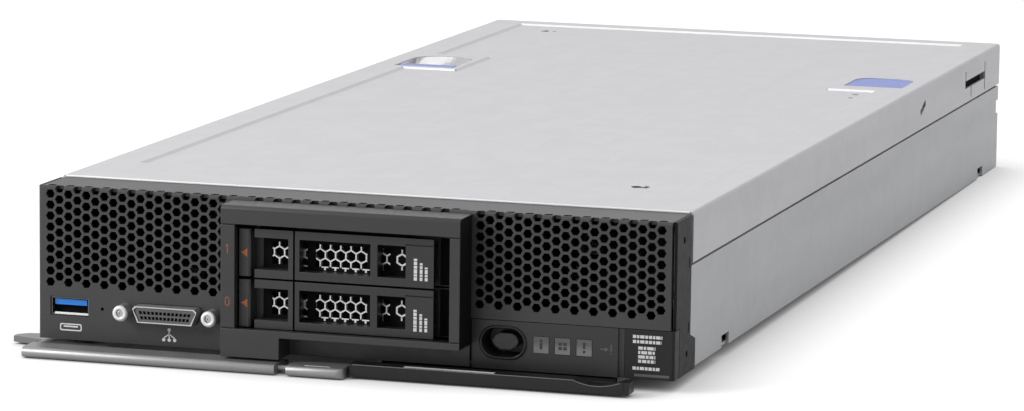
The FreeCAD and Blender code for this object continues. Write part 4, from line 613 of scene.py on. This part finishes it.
def bay_digits():
    """Bay numbers 1 and 0 on the left post of the drive frame."""
    low = box_mm("drive_bay_frame")[0]
    x = low.x + 2.35
    upper_bay, lower_bay = 34.6, 17.6
    width, height, stroke = 1.6, 3.0, 0.3
    top = height / 2
    one = [(-0.1, -top), (0.22, -top), (0.22, top), (-0.05, top), (-0.62, 1.05), (-0.62, 0.72), (-0.1, 1.02)]
    inner = oval(width - 2 * stroke, height - 2 * stroke)
    digits = Piece()
    digits.ink(one, (x, low.y, upper_bay))
    digits.border(oval(width, height), inner, FRONT, (x, low.y, lower_bay), PRINT)
    digits.done("bay_digits", INK_ORANGE, "chassis")


def frame_side_shade():
    """Black sheet of painted shade on the right side of the drive frame, cut off where the frame's upper
    edge slopes.
    """
    low, high = box_mm("drive_bay_frame")
    inset, slope, foot, rear = 0.35, 0.8, 7.0, -0.5
    front = low.y + inset
    top = high.z - inset
    outline = [(front, foot), (rear, foot), (rear, top), (front + slope, top), (front, top - slope)]
    film = Piece()
    film.slab(outline, RIGHT, (high.x, 0, 0), SHADE_MASK)
    film.done("frame_side_shade", BLACK_COAT_AND_SHADE, "chassis")


def latch_mark(index):
    """Orange triangle on the drive's latch, pointing left."""
    low, high = box_mm(f"drive_latch_{index}")
    centre = (low + high) / 2
    tip, back, half, offset = -1.2, 1.0, 1.35, -0.1
    mark = Piece()
    mark.ink([(tip, 0), (back, -half), (back, half)], (centre.x + offset, low.y, centre.z))
    mark.done(f"latch_mark_{index}", MARK_ORANGE, f"drive_{index}_latch")


def handle_bars(index):
    """Three columns of plain dashes on the end of the drive's handle."""
    low, high = box_mm(f"drive_handle_{index}")
    foot, gap = low.z + 2.3, 0.22
    bars = Piece()
    for inset, width, length in ((6.1, 1.1, 7.0), (4.2, 0.9, 5.7), (2.5, 0.95, 4.4)):
        for start, end in dashes(length, gap=gap):
            dash = span(-width / 2, width / 2, start, end)
            bars.ink(dash, (0, low.y, 0), high.x - inset, foot)
    bars.done(f"handle_bars_{index}", INK_WHITE, f"drive_{index}_handle")


def comb_window(index):
    """Painted shade on the drive's honeycomb, as a black backing behind it and a black mask over its parts
    that lie in shadow; painted highlight as its bright sill and one more bright cell on the right.
    """
    low, high = box_mm(f"drive_honeycomb_{index}")
    centre = (low + high) / 2
    disk_front = box_mm(f"disk_drive_{index}")[0].y
    body = f"drive_{index}"
    rim_x, rim_z, corner, backing_thick = 1.6, 1.1, 0.6, 0.3
    outline = rounded(high.x - low.x - 2 * rim_x, high.z - low.z - 2 * rim_z, corner)
    # Painted shade: black backing behind the honeycomb
    backing = Piece()
    backing.slab(outline, FRONT, (centre.x, disk_front, centre.z), backing_thick)
    backing.done(f"window_shade_backing_{index}", BLACK_COAT_AND_SHADE, body)

    left, slit, main, right = (-24.9, -18.4), (-14.8, -13.0), (-10.2, 7.1), (12.2, 14.8)
    sill_z, head_z = low.z + 2.3, low.z + 9.5
    cuts_x = [low.x, *left, *slit, *main, *right, high.x]
    cuts_z = [low.z, sill_z, head_z, high.z]
    face = (0, low.y, 0)
    # Painted shade: black mask over the parts of the honeycomb that lie in shadow
    mask = Piece()
    mask.lattice(cuts_x, cuts_z, {(column, 1) for column in (1, 3, 5, 7)}, FRONT, face, SHADE_MASK)
    mask.done(f"comb_shade_mask_{index}", BLACK_COAT_AND_SHADE, body)

    # Painted highlight: the sill and the extra cell are paler than the honeycomb
    thick = SHADE_MASK + PRINT
    level = sill_z - 0.3
    bar, half, stem, drop = 0.4, 1.2, 0.35, 0.8
    tee = [(-stem, -drop), (stem, -drop), (stem, 0), (half, 0), (half, bar), (-half, bar), (-half, 0),
           (-stem, 0)]
    last_tee = main[1] - 0.4
    sill = Piece()
    for k in range(5):
        sill.slab(moved(tee, last_tee - COMB_PITCH * k, level), FRONT, face, thick)
    sill.slab(span(slit[0] + 0.1, slit[1], level, level + bar), FRONT, face, thick)
    radius, spoke = COMB_PITCH / math.sqrt(3), 1.3
    cell_place = (right[1] + 4.0, low.y, centre.z)
    sill.border(hexagon(radius + COMB_WEB / 2), hexagon(radius - COMB_WEB), FRONT, cell_place, thick)
    for z in (radius, -radius - spoke):
        sill.slab(span(-COMB_WEB / 2, COMB_WEB / 2, z, z + spoke), FRONT, cell_place, thick)
    sill.done(f"comb_sill_highlight_{index}", PLATED_WHITE_AND_HIGHLIGHT, body)


def sled_shade_film(index):
    """Black sheet of painted shade on the sled's plate to the right of the handle."""
    low, high = box_mm(f"drive_sled_{index}")
    front = box_mm(f"drive_honeycomb_{index}")[1].y
    start = box_mm(f"drive_handle_{index}")[1].x + 0.3
    end, inset = high.x - 0.2, 0.3
    film = Piece()
    film.slab(span(start, end, low.z + inset, high.z - inset), FRONT, (0, front, 0), SHADE_FILM)
    film.done(f"sled_shade_film_{index}", BLACK_COAT_AND_SHADE, f"drive_{index}")


def drive_lid(index):
    """Raised lid of the disk with a ring round its hub and screws, seen when the drive is drawn out."""
    low, high = box_mm(f"disk_drive_{index}")
    x = (low.x + high.x) / 2
    y = (low.y + high.y) / 2
    width, length, corner, thick, edge = 62, 90, 6, 0.2, 0.08
    hub, ring_thick = y - 18, 0.1
    ring_outer, ring_inner = (rounded(size, size, size / 2 - 0.1, 10) for size in (44, 41))
    lid_top = high.z + thick
    lid = Piece()
    lid.slab(rounded(width, length, corner), TOP, (x, y, high.z), thick, edge)
    lid.border(ring_outer, ring_inner, TOP, (x, hub, lid_top), ring_thick)
    lid.done(f"disk_lid_{index}", CAN_METAL, f"drive_{index}")
    head = [(1.8, 0), (1.8, 0.1), (1.5, 0.16), (0.7, 0.16), (0.6, 0.06)]
    screws = Piece()
    for across in (-27, 27):
        for along in (-41, 0, 41):
            screws.lathe(head, TOP, (x + across, y + along, lid_top), count=16)
    screws.done(f"disk_screws_{index}", LOOKS["connector_shell"], f"drive_{index}")


def button_trim():
    """Oval trim round the power button, and the button's rounded cap."""
    low, high = box_mm("power_button")
    centre = (low + high) / 2
    panel_front = box_mm("operator_panel")[0].y
    width, height = 15.6, 10.8
    section = [(0.0, 0.0), (0.0, 0.12), (-0.2, 0.25), (-0.6, 0.25), (-0.85, 0.1), (-0.85, 0.0)]
    rings = [(oval(width + 2 * grow, height + 2 * grow, 10), lift) for grow, lift in section]
    trim = Piece()
    trim.hoop(rings, FRONT, (centre.x, panel_front, centre.z))
    trim.done("button_trim", GLOSS_BLACK, "chassis", smooth=True)
    corner, thick, edge = 2.4, 1.6, 0.5
    outline = rounded(high.x - low.x, high.z - low.z, corner, 8)
    cap = Piece()
    cap.slab(outline, FRONT, (centre.x, low.y, centre.z), thick, edge)
    cap.done("button_cap", BUTTON_GREY, "power_button")


def status_marks():
    """Plain pictograms in the three status windows, the windows' rims and an arrow mark beside them."""
    low, high = box_mm("status_windows")
    width, height, rim = 5.0, 5.2, 0.25
    pitch = (high.x - low.x - width) / 2
    first, second, third = (low.x + width / 2 + pitch * k for k in range(3))
    level = (low.z + high.z) / 2
    marks = Piece()
    marks.ink(rectangle(0.9, 2.0), ORIGIN, first, level - 0.35)
    marks.ink(circle(0.5, 14), ORIGIN, first, level + 1.35)
    for column in (-0.8, 0.8):
        for row in (-0.7, 0.7):
            marks.ink(rectangle(1.15, 1.0), ORIGIN, second + column, level + row)
    marks.ink([(-0.35, -0.4), (0.35, -0.4), (0.5, 1.7), (-0.5, 1.7)], ORIGIN, third, level)
    marks.ink(circle(0.48, 14), ORIGIN, third, level - 1.3)
    marks.done("status_marks", INK_DARK, "chassis")

    rims = Piece()
    outer, inner = rectangle(width + 2 * rim, height + 2 * rim), rectangle(width, height)
    for x in (first, second, third):
        rims.border(outer, inner, FRONT, (x, 0, level), PRINT)
    rims.done("window_rims", GLOSS_BLACK, "chassis")

    arrow_x, stroke_x = high.x + 4.2, high.x + 6.4
    shape = [(-1.4, -0.2), (0.1, -0.2), (0.1, -0.75), (1.4, 0), (0.1, 0.75), (0.1, 0.2), (-1.4, 0.2)]
    arrow = Piece()
    arrow.ink(shape, ORIGIN, arrow_x, level)
    arrow.ink(rectangle(0.35, 2.3), ORIGIN, stroke_x, level + 0.5)
    arrow.ink(circle(0.25, 12), ORIGIN, stroke_x, level - 1.3)
    arrow.done("arrow_mark", INK_GREY, "chassis")


def corner_marks():
    """Rows of plain dashes and a pale strip on the corner block."""
    low, high = box_mm("label_block")
    face = (0, low.y, 0)
    rows = Piece()

    def row(spans, x, z, half=0.5):
        for start, end in spans:
            rows.ink(span(start, end, -half, half), face, x, z)

    for z, length in ((12.8, 9.6), (11.2, 9.4), (2.7, 8.8)):
        row(dashes(length, gap=0.28), low.x + 2.6, z)
    short_length, short_top, short_pitch = 5.6, 9.2, 1.4
    for k, sizes in enumerate(((1.5, 0.8, 2.1), (0.7, 1.9, 1.2), (2.2, 0.9, 1.3), (1.0, 1.4, 0.8))):
        row(dashes(short_length, sizes), low.x + 4.4, short_top - short_pitch * k)
    rows.done("corner_rows", INK_WHITE, "chassis")
    strip = Piece()
    strip.ink(span(low.x + 3.2, high.x - 1.6, 0.1, 0.9), face)
    strip.done("corner_strip", INK_GREY, "chassis")


def port_marks():
    """Plain pictograms under the two front ports: the outline of a socket and a branching line."""
    socket_x, socket_z = middle("usb_shell").x + 0.4, 3.3
    marks = Piece()
    marks.border(rounded(7.6, 2.4, 0.6), rounded(6.8, 1.6, 0.3), FRONT, (socket_x, 0, socket_z), PRINT)
    marks.ink(rectangle(5.0, 0.5), (socket_x, 0, socket_z + 0.25))
    branch = (middle("console_shell").x - 0.2, 0, 2.7)
    stem = 0.2
    marks.ink(circle(0.6, 16), branch, 0, 1.9)
    marks.ink(span(-stem, stem, -1.0, 1.4), branch)
    for way in (-1, 1):
        leg = [(0, 0.75), (0, 0.3), (way * 1.75, -0.95), (way * 2.0, -0.62)]
        marks.ink(leg[::way], branch)
    for offset in (-1.9, 0, 1.9):
        marks.ink(circle(0.58, 14), branch, offset, -1.4)
    marks.done("port_marks", INK_WHITE, "chassis")


def console_face():
    """Face of the console connector with two rows of thirteen contact holes."""
    low, high = box_mm("console_insert")
    centre = (low + high) / 2
    count, pitch, hole, edge, thick, taper = 13, 1.36, 0.98, 9.85, 0.45, 0.033
    columns = [(k - count // 2) * pitch for k in range(count)]
    cuts_x = [-edge] + [x + side * hole / 2 for x in columns for side in (-1, 1)] + [edge]
    cuts_z = [-2.25, -1.55, -0.5, 0.1, 1.15, 2.25]
    holes = {(2 * k + 1, row) for k in range(count) for row in (1, 3)}
    face = Piece()
    face.lattice(cuts_x, cuts_z, holes, FRONT, (centre.x, low.y, centre.z), thick, taper)
    face.done("console_face", FACE_GREY, "chassis")


def screwlocks():
    """Bright rims of the console's screwlocks and the threaded cups in them."""
    low, high = box_mm("console_screwlocks")
    radius = (high.z - low.z) / 2
    rim = [(radius - 0.05, 0.0), (radius - 0.1, 0.35), (radius - 0.5, 0.7), (1.5, 0.75), (1.2, 0.5),
           (1.2, 0.0)]
    cup = [(1.15, -0.6), (1.15, 0.15), (0.8, 0.3), (0.45, 0.3), (0.4, -0.1)]
    rims = Piece()
    cups = Piece()
    for x in (low.x + radius, high.x - radius):
        place = (x, low.y, (low.z + high.z) / 2)
        rims.hoop([(circle(r), lift) for r, lift in rim], FRONT, place)
        cups.lathe(cup, FRONT, place)
    rims.done("screwlock_rims", PLATED_WHITE_AND_HIGHLIGHT, "chassis", smooth=True)
    cups.done("screwlock_cups", LOOKS["drive_case"], "chassis")


def usb_inside():
    """Painted shade as a black body behind the USB tongue, and painted highlight as the bright spring lip
    under it.
    """
    low, high = box_mm("usb_shell")
    wall, room = 0.35, 0.1
    left, right = low.x + wall + room, high.x - wall - room
    floor, top, rear, depth = low.z + wall + 0.02, low.z + 2.9, 10.2, 7.4
    body = Piece()
    body.slab(span(left, right, floor, top), FRONT, (0, rear, 0), depth)
    body.done("usb_shade_body", BLACK_COAT_AND_SHADE, "chassis")
    # Painted highlight: the lip is much paler than the shell round it
    lip_low, lip_high, lip_rear, lip_thick, edge = low.z + 0.05, low.z + 0.8, low.y + 0.4, 0.5, 0.12
    lip = Piece()
    lip.slab(span(left + 0.7, right + 0.3, lip_low, lip_high), FRONT, (0, lip_rear, 0), lip_thick, edge)
    lip.done("usb_lip_highlight", PLATED_WHITE_AND_HIGHLIGHT, "chassis")


def bracket_rivets():
    """Oval eyelets in the slots of the side brackets."""
    profile = [(0.8, 0.0), (0.8, 0.7), (0.66, 0.8), (0.45, 0.72), (0.3, 0.3)]
    slot_y, slot_levels, stretch = 15.9, (13.9, 34.7), 1.6
    right_face = box_mm("bezel_side_right")[0].x
    left_face = box_mm("bezel_side_left")[1].x
    for name, plane, x in (("right", RIGHT, right_face), ("left", LEFT, left_face)):
        rivets = Piece()
        for z in slot_levels:
            rivets.lathe(profile, plane, (x, slot_y, z), stretch)
        rivets.done(f"bracket_rivets_{name}", FACE_GREY, "chassis", smooth=True)


def tray_edge_highlight():
    """Painted highlight as a pale line along the edge of the tray's lip and down its scoop."""
    low, high = box_mm("label_tray")
    scoop_start, scoop_end, depth, steps, width = 77.9, 93.3, 1.5, 12, 0.25
    half = (scoop_end - scoop_start) / 2
    radius = (half * half + depth * depth) / (2 * depth)
    path = [(low.x + 1.0, high.z)]
    for k in range(steps + 1):
        across = half * (2 * k / steps - 1)
        rise = radius - math.sqrt(radius ** 2 - across ** 2)
        path.append((scoop_start + half + across, high.z - depth + rise))
    edge = Piece()
    edge.ribbon(path, width, FRONT, (0, low.y, 0), PRINT)
    edge.done("tray_edge_highlight", HIGHLIGHT_AND_MARK_GREY, "label_tray")


def tray_cap():
    """Squared end of the tray's lip, and the pale strip on top of the lip."""
    low, high = box_mm("label_tray")
    reach, depth, rear, edge = 1.75, 5.8, low.y + 5.9, 0.15
    outline = [(-1.5, low.z), (1.1, low.z), (1.5, low.z + 0.15), (reach, low.z + 0.6), (reach, high.z),
               (0, high.z), (0, low.z + 1.5)]
    cap = Piece()
    cap.slab(moved(outline, high.x, 0), FRONT, (0, rear, 0), depth, edge)
    cap.done("tray_cap", LOOKS["tray_plastic"], "label_tray")
    strip = Piece()
    strip.slab(span(low.x + 18, low.x + 48, low.y + 0.6, low.y + 2.4), TOP, (0, 0, high.z), PRINT)
    strip.done("tray_strip", INK_WHITE, "label_tray")


def duct_shade_films():
    """Black sheets of painted shade on the floor and the outer walls of the two front ducts."""
    cage_low, cage_high = box_mm("drive_cage")
    floor, top, floor_start = 1.0, 48.2, 6.5
    end = box_mm("system_board")[0].y - 1.2
    sides = (("left", -1, RIGHT, 1.5, cage_low.x), ("right", 1, LEFT, 6.5, cage_high.x))
    for name, way, plane, start, cage in sides:
        film = Piece()
        run = sorted((-way * start, -way * end))
        film.slab(span(*run, floor + 0.3, top), plane, (way * WALL_INNER, 0, 0), SHADE_FILM)
        breadth = sorted((way * (WALL_INNER - 0.4), cage + way * 0.2))
        film.slab(span(*breadth, floor_start, end), TOP, (0, 0, floor), SHADE_FILM)
        film.done(f"duct_shade_film_{name}", BLACK_COAT_AND_SHADE, "chassis")


def wall_shade_films():
    """Black sheets of painted shade on the walls behind the openings in the sides of the cover."""
    window, window_levels = (422, 471), (35.5, 48.0)
    diamond, diamond_levels = (345, 358), (37.0, 46.5)
    for name, way, inward, outward in (("left", -1, RIGHT, LEFT), ("right", 1, LEFT, RIGHT)):
        film = Piece()
        run = sorted(-way * y for y in window)
        film.slab(span(*run, *window_levels), inward, (way * WALL_INNER, 0, 0), SHADE_FILM)
        run = sorted(way * y for y in diamond)
        film.slab(span(*run, *diamond_levels), outward, (way * WALL_OUTER, 0, 0), SHADE_MASK)
        film.done(f"wall_shade_film_{name}", BLACK_COAT_AND_SHADE, "chassis")


def cover_hem_highlight():
    """Rolled hem along the front edge of the cover with a dome at each corner, both nearly white as a
    painted highlight.
    """
    low, high = box_mm("top_cover")
    radius, corner = 0.42, 1.3
    outline = moved(circle(radius, 14), low.y + 0.1, high.z - radius)
    dome = [(0.75, -0.5), (0.75, 0.0), (0.6, 0.2), (0.3, 0.3)]
    hem = Piece()
    hem.slab(outline, RIGHT, (low.x + corner, 0, 0), high.x - low.x - 2 * corner)
    for way in (-1, 1):
        hem.lathe(dome, TOP, (way * (high.x - 1.1), low.y + 0.75, high.z - 0.3), count=16)
    hem.done("cover_hem_highlight", PAINTED_HIGHLIGHT, "top_cover")


def cover_slopes():
    """Sloped steps in front of the cover's pads and rear margin, nearly white as a painted highlight, and
    slopes in the cover's steel along its pads and side margins.
    """
    top = box_mm("top_cover")[1].z
    base, crest = top - COVER_STEP, top - 0.02
    step_run, step_gap = 0.9, 0.1
    edge = COVER_MARGIN - step_gap
    steps = Piece()
    for x0, x1, y in ((-edge, -LATCH_PAD - step_gap, PAD_FRONT), (PUSH_PAD + step_gap, edge, PAD_FRONT),
                      (-edge, edge, REAR_MARGIN)):
        steps.slab([(y - step_run, base), (y, base), (y, crest)], RIGHT, (x0, 0, 0), x1 - x0)
    steps.done("cover_step_highlights", PAINTED_HIGHLIGHT, "top_cover")

    side_run, side_gap, end_gap, margin_front = 1.3, 0.2, 1.0, 54.6
    slopes = Piece()
    for way, pad in ((-1, LATCH_PAD), (1, PUSH_PAD)):
        for x, y0, y1 in ((COVER_MARGIN, margin_front, PAD_FRONT - end_gap),
                          (pad, PAD_FRONT + side_gap, PAD_REAR - side_gap),
                          (COVER_MARGIN, PAD_REAR + side_gap, REAR_MARGIN - end_gap)):
            profile = [(way * x, base), (way * (x - side_run), base), (way * x, crest)]
            slopes.slab(profile, FRONT, (0, y1, 0), y1 - y0)
    slopes.done("cover_slopes", LOOKS["cover_steel"], "top_cover")


def cover_marks():
    """Dark cup of painted shade in the cover's keyhole, and small grey studs in front of the push pad and at
    the rear.
    """
    level = box_mm("top_cover")[1].z - COVER_STEP
    keyhole = (75.0, 68.0, level)
    cup = Piece()
    cup.lathe([(1.7, 0), (1.7, 0.06), (1.5, 0.1), (1.2, 0.03)], TOP, keyhole)
    cup.done("keyhole_shade_cup", BLACK_COAT_AND_SHADE, "top_cover")
    marks = Piece()
    for x, y, size in ((88.2, 320.8, 2.6), (88.6, 311.1, 1.8), (-74.4, 468.0, 1.6)):
        profile = [(size / 2, 0), (size / 2, 0.06), (size / 3, 0.1), (size / 4, 0.04)]
        marks.lathe(profile, TOP, (x, y, level))
    marks.done("cover_marks", HIGHLIGHT_AND_MARK_GREY, "top_cover")


def latch_bowl():
    """Smooth bowl behind the cover latch: upright in front where the latch runs, sloped round behind."""
    low, high = box_mm("latch_dish")
    corner, wall, floor, slope_start, even_share = 11.0, 0.5, 44.2, 347.5, 0.35
    column_count, row_count = 18, 22
    centre = (low.x + high.x) / 2
    half = (high.x - low.x) / 2
    front = low.y + wall
    inner_width = high.x - low.x - 2 * wall
    columns = [low.x + wall + inner_width * k / column_count for k in range(column_count + 1)]
    left, right = columns[0], columns[-1]

    def rear_edge(x):
        off = max(abs(x - centre) - (half - corner), 0)
        return high.y - corner + math.sqrt(max(corner ** 2 - off ** 2, 0))

    def level(y, rear):
        t = min(max((y - slope_start) / (rear - slope_start), 0), 1)
        return floor + (high.z - floor) * (even_share * t + (1 - even_share) * t ** 3)

    rim_left, rim_right = [(low.x, True), (left, True)], [(right, True), (high.x, True)]
    grid = []
    for x, is_rim in rim_left + [(x, False) for x in columns] + rim_right:
        rear = rear_edge(min(max(x, left), right))
        line = [(x, low.y, high.z), (x, front, high.z)]
        for k in range(row_count + 1):
            y = front + (rear - front) * k / row_count
            line.append((x, y, high.z if is_rim else level(y, rear)))
        grid.append(line)
    solid = Piece()
    solid.surface(grid)
    bowl = solid.done("latch_bowl", DISH_SILVER, "top_cover")
    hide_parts("latch_dish")


def memory_chips():
    """Memory chips on both faces of every module."""
    slots, count, first, pitch, level, thick = 6, 9, 10, 14.2, 25, 1.0
    chip = rectangle(9.5, 11)
    for side in ("left", "right"):
        low, high = box_mm(f"memory_modules_{side}")
        chips = Piece()
        for row in (low.y, high.y - MODULE_LENGTH):
            for slot in range(slots):
                face = low.x + slot * MODULE_PITCH
                for k in range(count):
                    y = row + first + k * pitch
                    chips.slab(moved(chip, y, level), RIGHT, (face + MODULE_THICK, 0, 0), thick)
                    chips.slab(moved(chip, -y, level), LEFT, (face, 0, 0), thick)
        chips.done(f"memory_chips_{side}", CHIP_BLACK, "chassis")


def board_parts():
    """Cans, chokes and small chips on the system board."""
    top = box_mm("system_board")[1].z
    can = [(3.0, 0.0), (3.0, 0.8), (2.8, 1.1), (3.0, 1.5), (3.0, 7.4), (2.7, 7.8), (0.4, 7.8)]
    cans = Piece()
    for y in (122.0, 131.0):
        for x in (19, 27.5, 36):
            for way in (-1, 1):
                cans.lathe(can, TOP, (way * x, y, top))
    for x in range(-36, 37, 9):
        cans.lathe(can, TOP, (x, 394.0, top))
    cans.done("capacitors", CAN_METAL, "chassis")
    choke = rounded(7.5, 7.5, 1.2, 3)
    choke_height, choke_edge, chip_edge = 5.5, 0.5, 0.15
    blocks = Piece()
    for way in (-1, 1):
        for y in (244.5, 256.0, 267.5, 279.0):
            blocks.slab(choke, TOP, (way * 33, y, top), choke_height, choke_edge)
        for y in (246, 260, 274):
            blocks.slab(rectangle(7, 10), TOP, (way * 24, y, top), 1.1, chip_edge)
        for x in (22, 38):
            blocks.slab(rectangle(12, 9), TOP, (way * x, 403.5, top), 1.2, chip_edge)
    blocks.done("board_blocks", CHIP_BLACK, "chassis")


def adapter_parts(side):
    """Small chips on an adapter and the finned heat sink over its main chip."""
    low, high = box_mm(f"io_adapter_{side}")
    centre = (low + high) / 2
    chip_edge, chip_pitch = 0.15, 14.5
    parts = Piece()
    for k in range(5):
        x = low.x + 12 + chip_pitch * k
        parts.slab(rectangle(6, 6), TOP, (x, low.y + 13, ADAPTER_DECK), 1.2, chip_edge)
        parts.slab(rectangle(4, 8), TOP, (x, high.y - 12, ADAPTER_DECK), 1.0, chip_edge)
    parts.done(f"adapter_chips_{side}", CHIP_BLACK, "chassis")
    room, fin_count, fin_thick, fin_height = 0.4, 9, 1.1, 5.0
    width = ADAPTER_CHIP + 2 * room
    base_top = high.z + room
    fin = rectangle(fin_thick, width)
    fin_pitch = (width - fin_thick) / (fin_count - 1)
    sink = Piece()
    sink.slab(rectangle(width, width), TOP, (centre.x, centre.y, ADAPTER_DECK), base_top - ADAPTER_DECK, 0.2)
    for k in range(fin_count):
        offset = (k - fin_count // 2) * fin_pitch
        sink.slab(moved(fin, offset, 0), TOP, (centre.x, centre.y, base_top), fin_height, 0.1)
    sink.done(f"adapter_sink_{side}", LOOKS["sink_aluminium"], "chassis")


def add_camera():
    """Camera at the photograph's viewing angle."""
    flat = math.cos(CAMERA_PITCH)
    forward = Vector((math.sin(CAMERA_YAW) * flat, math.cos(CAMERA_YAW) * flat, math.sin(CAMERA_PITCH)))
    level = Vector((math.cos(CAMERA_YAW), -math.sin(CAMERA_YAW), 0))
    upright = level.cross(forward)
    right = level * math.cos(CAMERA_ROLL) + upright * math.sin(CAMERA_ROLL)
    above = upright * math.cos(CAMERA_ROLL) - level * math.sin(CAMERA_ROLL)
    turn = Matrix((right, above, -forward)).transposed().to_4x4()
    data = bpy.data.cameras.new("camera")
    data.lens = CAMERA_LENS
    data.sensor_width = CAMERA_SENSOR
    data.sensor_fit = "HORIZONTAL"
    data.clip_start = CAMERA_NEAR
    camera = add_object("camera", data)
    camera.matrix_world = Matrix.Translation(CAMERA_PLACE) @ turn
    bpy.context.scene.camera = camera


def seen_directly(tree):
    """1 for camera, glossy and transmission rays, 0 for the rays that light the object."""
    path = tree.nodes.new("ShaderNodeLightPath").outputs
    seen = math_node(tree, "MAXIMUM", path["Is Camera Ray"], path["Is Glossy Ray"])
    return math_node(tree, "MAXIMUM", seen, path["Is Transmission Ray"])


def add_world():
    """White where it is seen, a grey fill where it lights."""
    world = bpy.data.worlds.new("studio")
    world.use_nodes = True
    tree = world.node_tree
    strength = tree.nodes.new("ShaderNodeMapRange")
    fill(strength, {"To Min": FILL, "To Max": 1.0})
    tree.links.new(seen_directly(tree), strength.inputs["Value"])
    background = tree.nodes["Background"]
    fill(background, {"Color": (1, 1, 1, 1)})
    tree.links.new(strength.outputs["Result"], background.inputs["Strength"])
    bpy.context.scene.world = world


def floor_white():
    """White in the open and dark where the object comes close to it."""
    material = bpy.data.materials.new("floor_white")
    material.use_nodes = True
    tree = material.node_tree
    surface = tree.nodes["Principled BSDF"]
    tone = (FLOOR_TONE, FLOOR_TONE, FLOOR_TONE, 1)
    fill(surface, {"Base Color": tone, "Roughness": FLOOR_ROUGHNESS, "Specular IOR Level": 0.0,
                   "Emission Color": (1, 1, 1, 1)})
    near = tree.nodes.new("ShaderNodeAmbientOcclusion")
    fill(near, {"Distance": FLOOR_SHADE})
    glow = math_node(tree, "MULTIPLY", seen_directly(tree), FLOOR_GLOW)
    open_glow = math_node(tree, "MULTIPLY", glow, near.outputs["AO"])
    tree.links.new(open_glow, surface.inputs["Emission Strength"])
    return material


def add_floor():
    """Pale table under the blade."""
    slope = (FLOOR_REAR - FLOOR_FRONT).normalized()
    across = Vector((1, 0, 0))
    corners = [FLOOR_FRONT + across * FLOOR_REACH * sx + slope * FLOOR_REACH * sy
               for sx, sy in ((-1, -1), (1, -1), (1, 1), (-1, 1))]
    data = bpy.data.meshes.new("floor")
    data.from_pydata(corners, [], [(0, 1, 2, 3)])
    data.materials.append(floor_white())
    floor = add_object("floor", data)


def add_softbox(name, place, aim, size, power):
    data = bpy.data.lights.new(name, "AREA")
    data.shape = "SQUARE"
    data.size = size
    data.energy = power
    lamp = add_object(name, data)
    lamp.location = place
    lamp.rotation_euler = (aim - place).to_track_quat("-Z", "Y").to_euler()


dress_nodes()
for moulding in MOULDINGS:
    soften(moulding, MOULDED_EDGE)
bay_digits()
frame_side_shade()
for drive in (0, 1):
    latch_mark(drive)
    handle_bars(drive)
    comb_window(drive)
    sled_shade_film(drive)
    drive_lid(drive)
    soften(f"drive_handle_{drive}", HANDLE_EDGE)
button_trim()
status_marks()
corner_marks()
port_marks()
console_face()
screwlocks()
usb_inside()
bracket_rivets()
tray_edge_highlight()
tray_cap()
duct_shade_films()
wall_shade_films()
cover_hem_highlight()
cover_slopes()
cover_marks()
latch_bowl()
memory_chips()
board_parts()
adapter_parts("left")
adapter_parts("right")
add_camera()
add_world()
add_floor()
add_softbox("key", KEY_PLACE, LIGHT_AIM, KEY_SIZE, KEY_POWER)
add_softbox("overhead", OVERHEAD_PLACE, LIGHT_AIM, OVERHEAD_SIZE, OVERHEAD_POWER)
bpy.context.scene.view_settings.view_transform = "Standard"
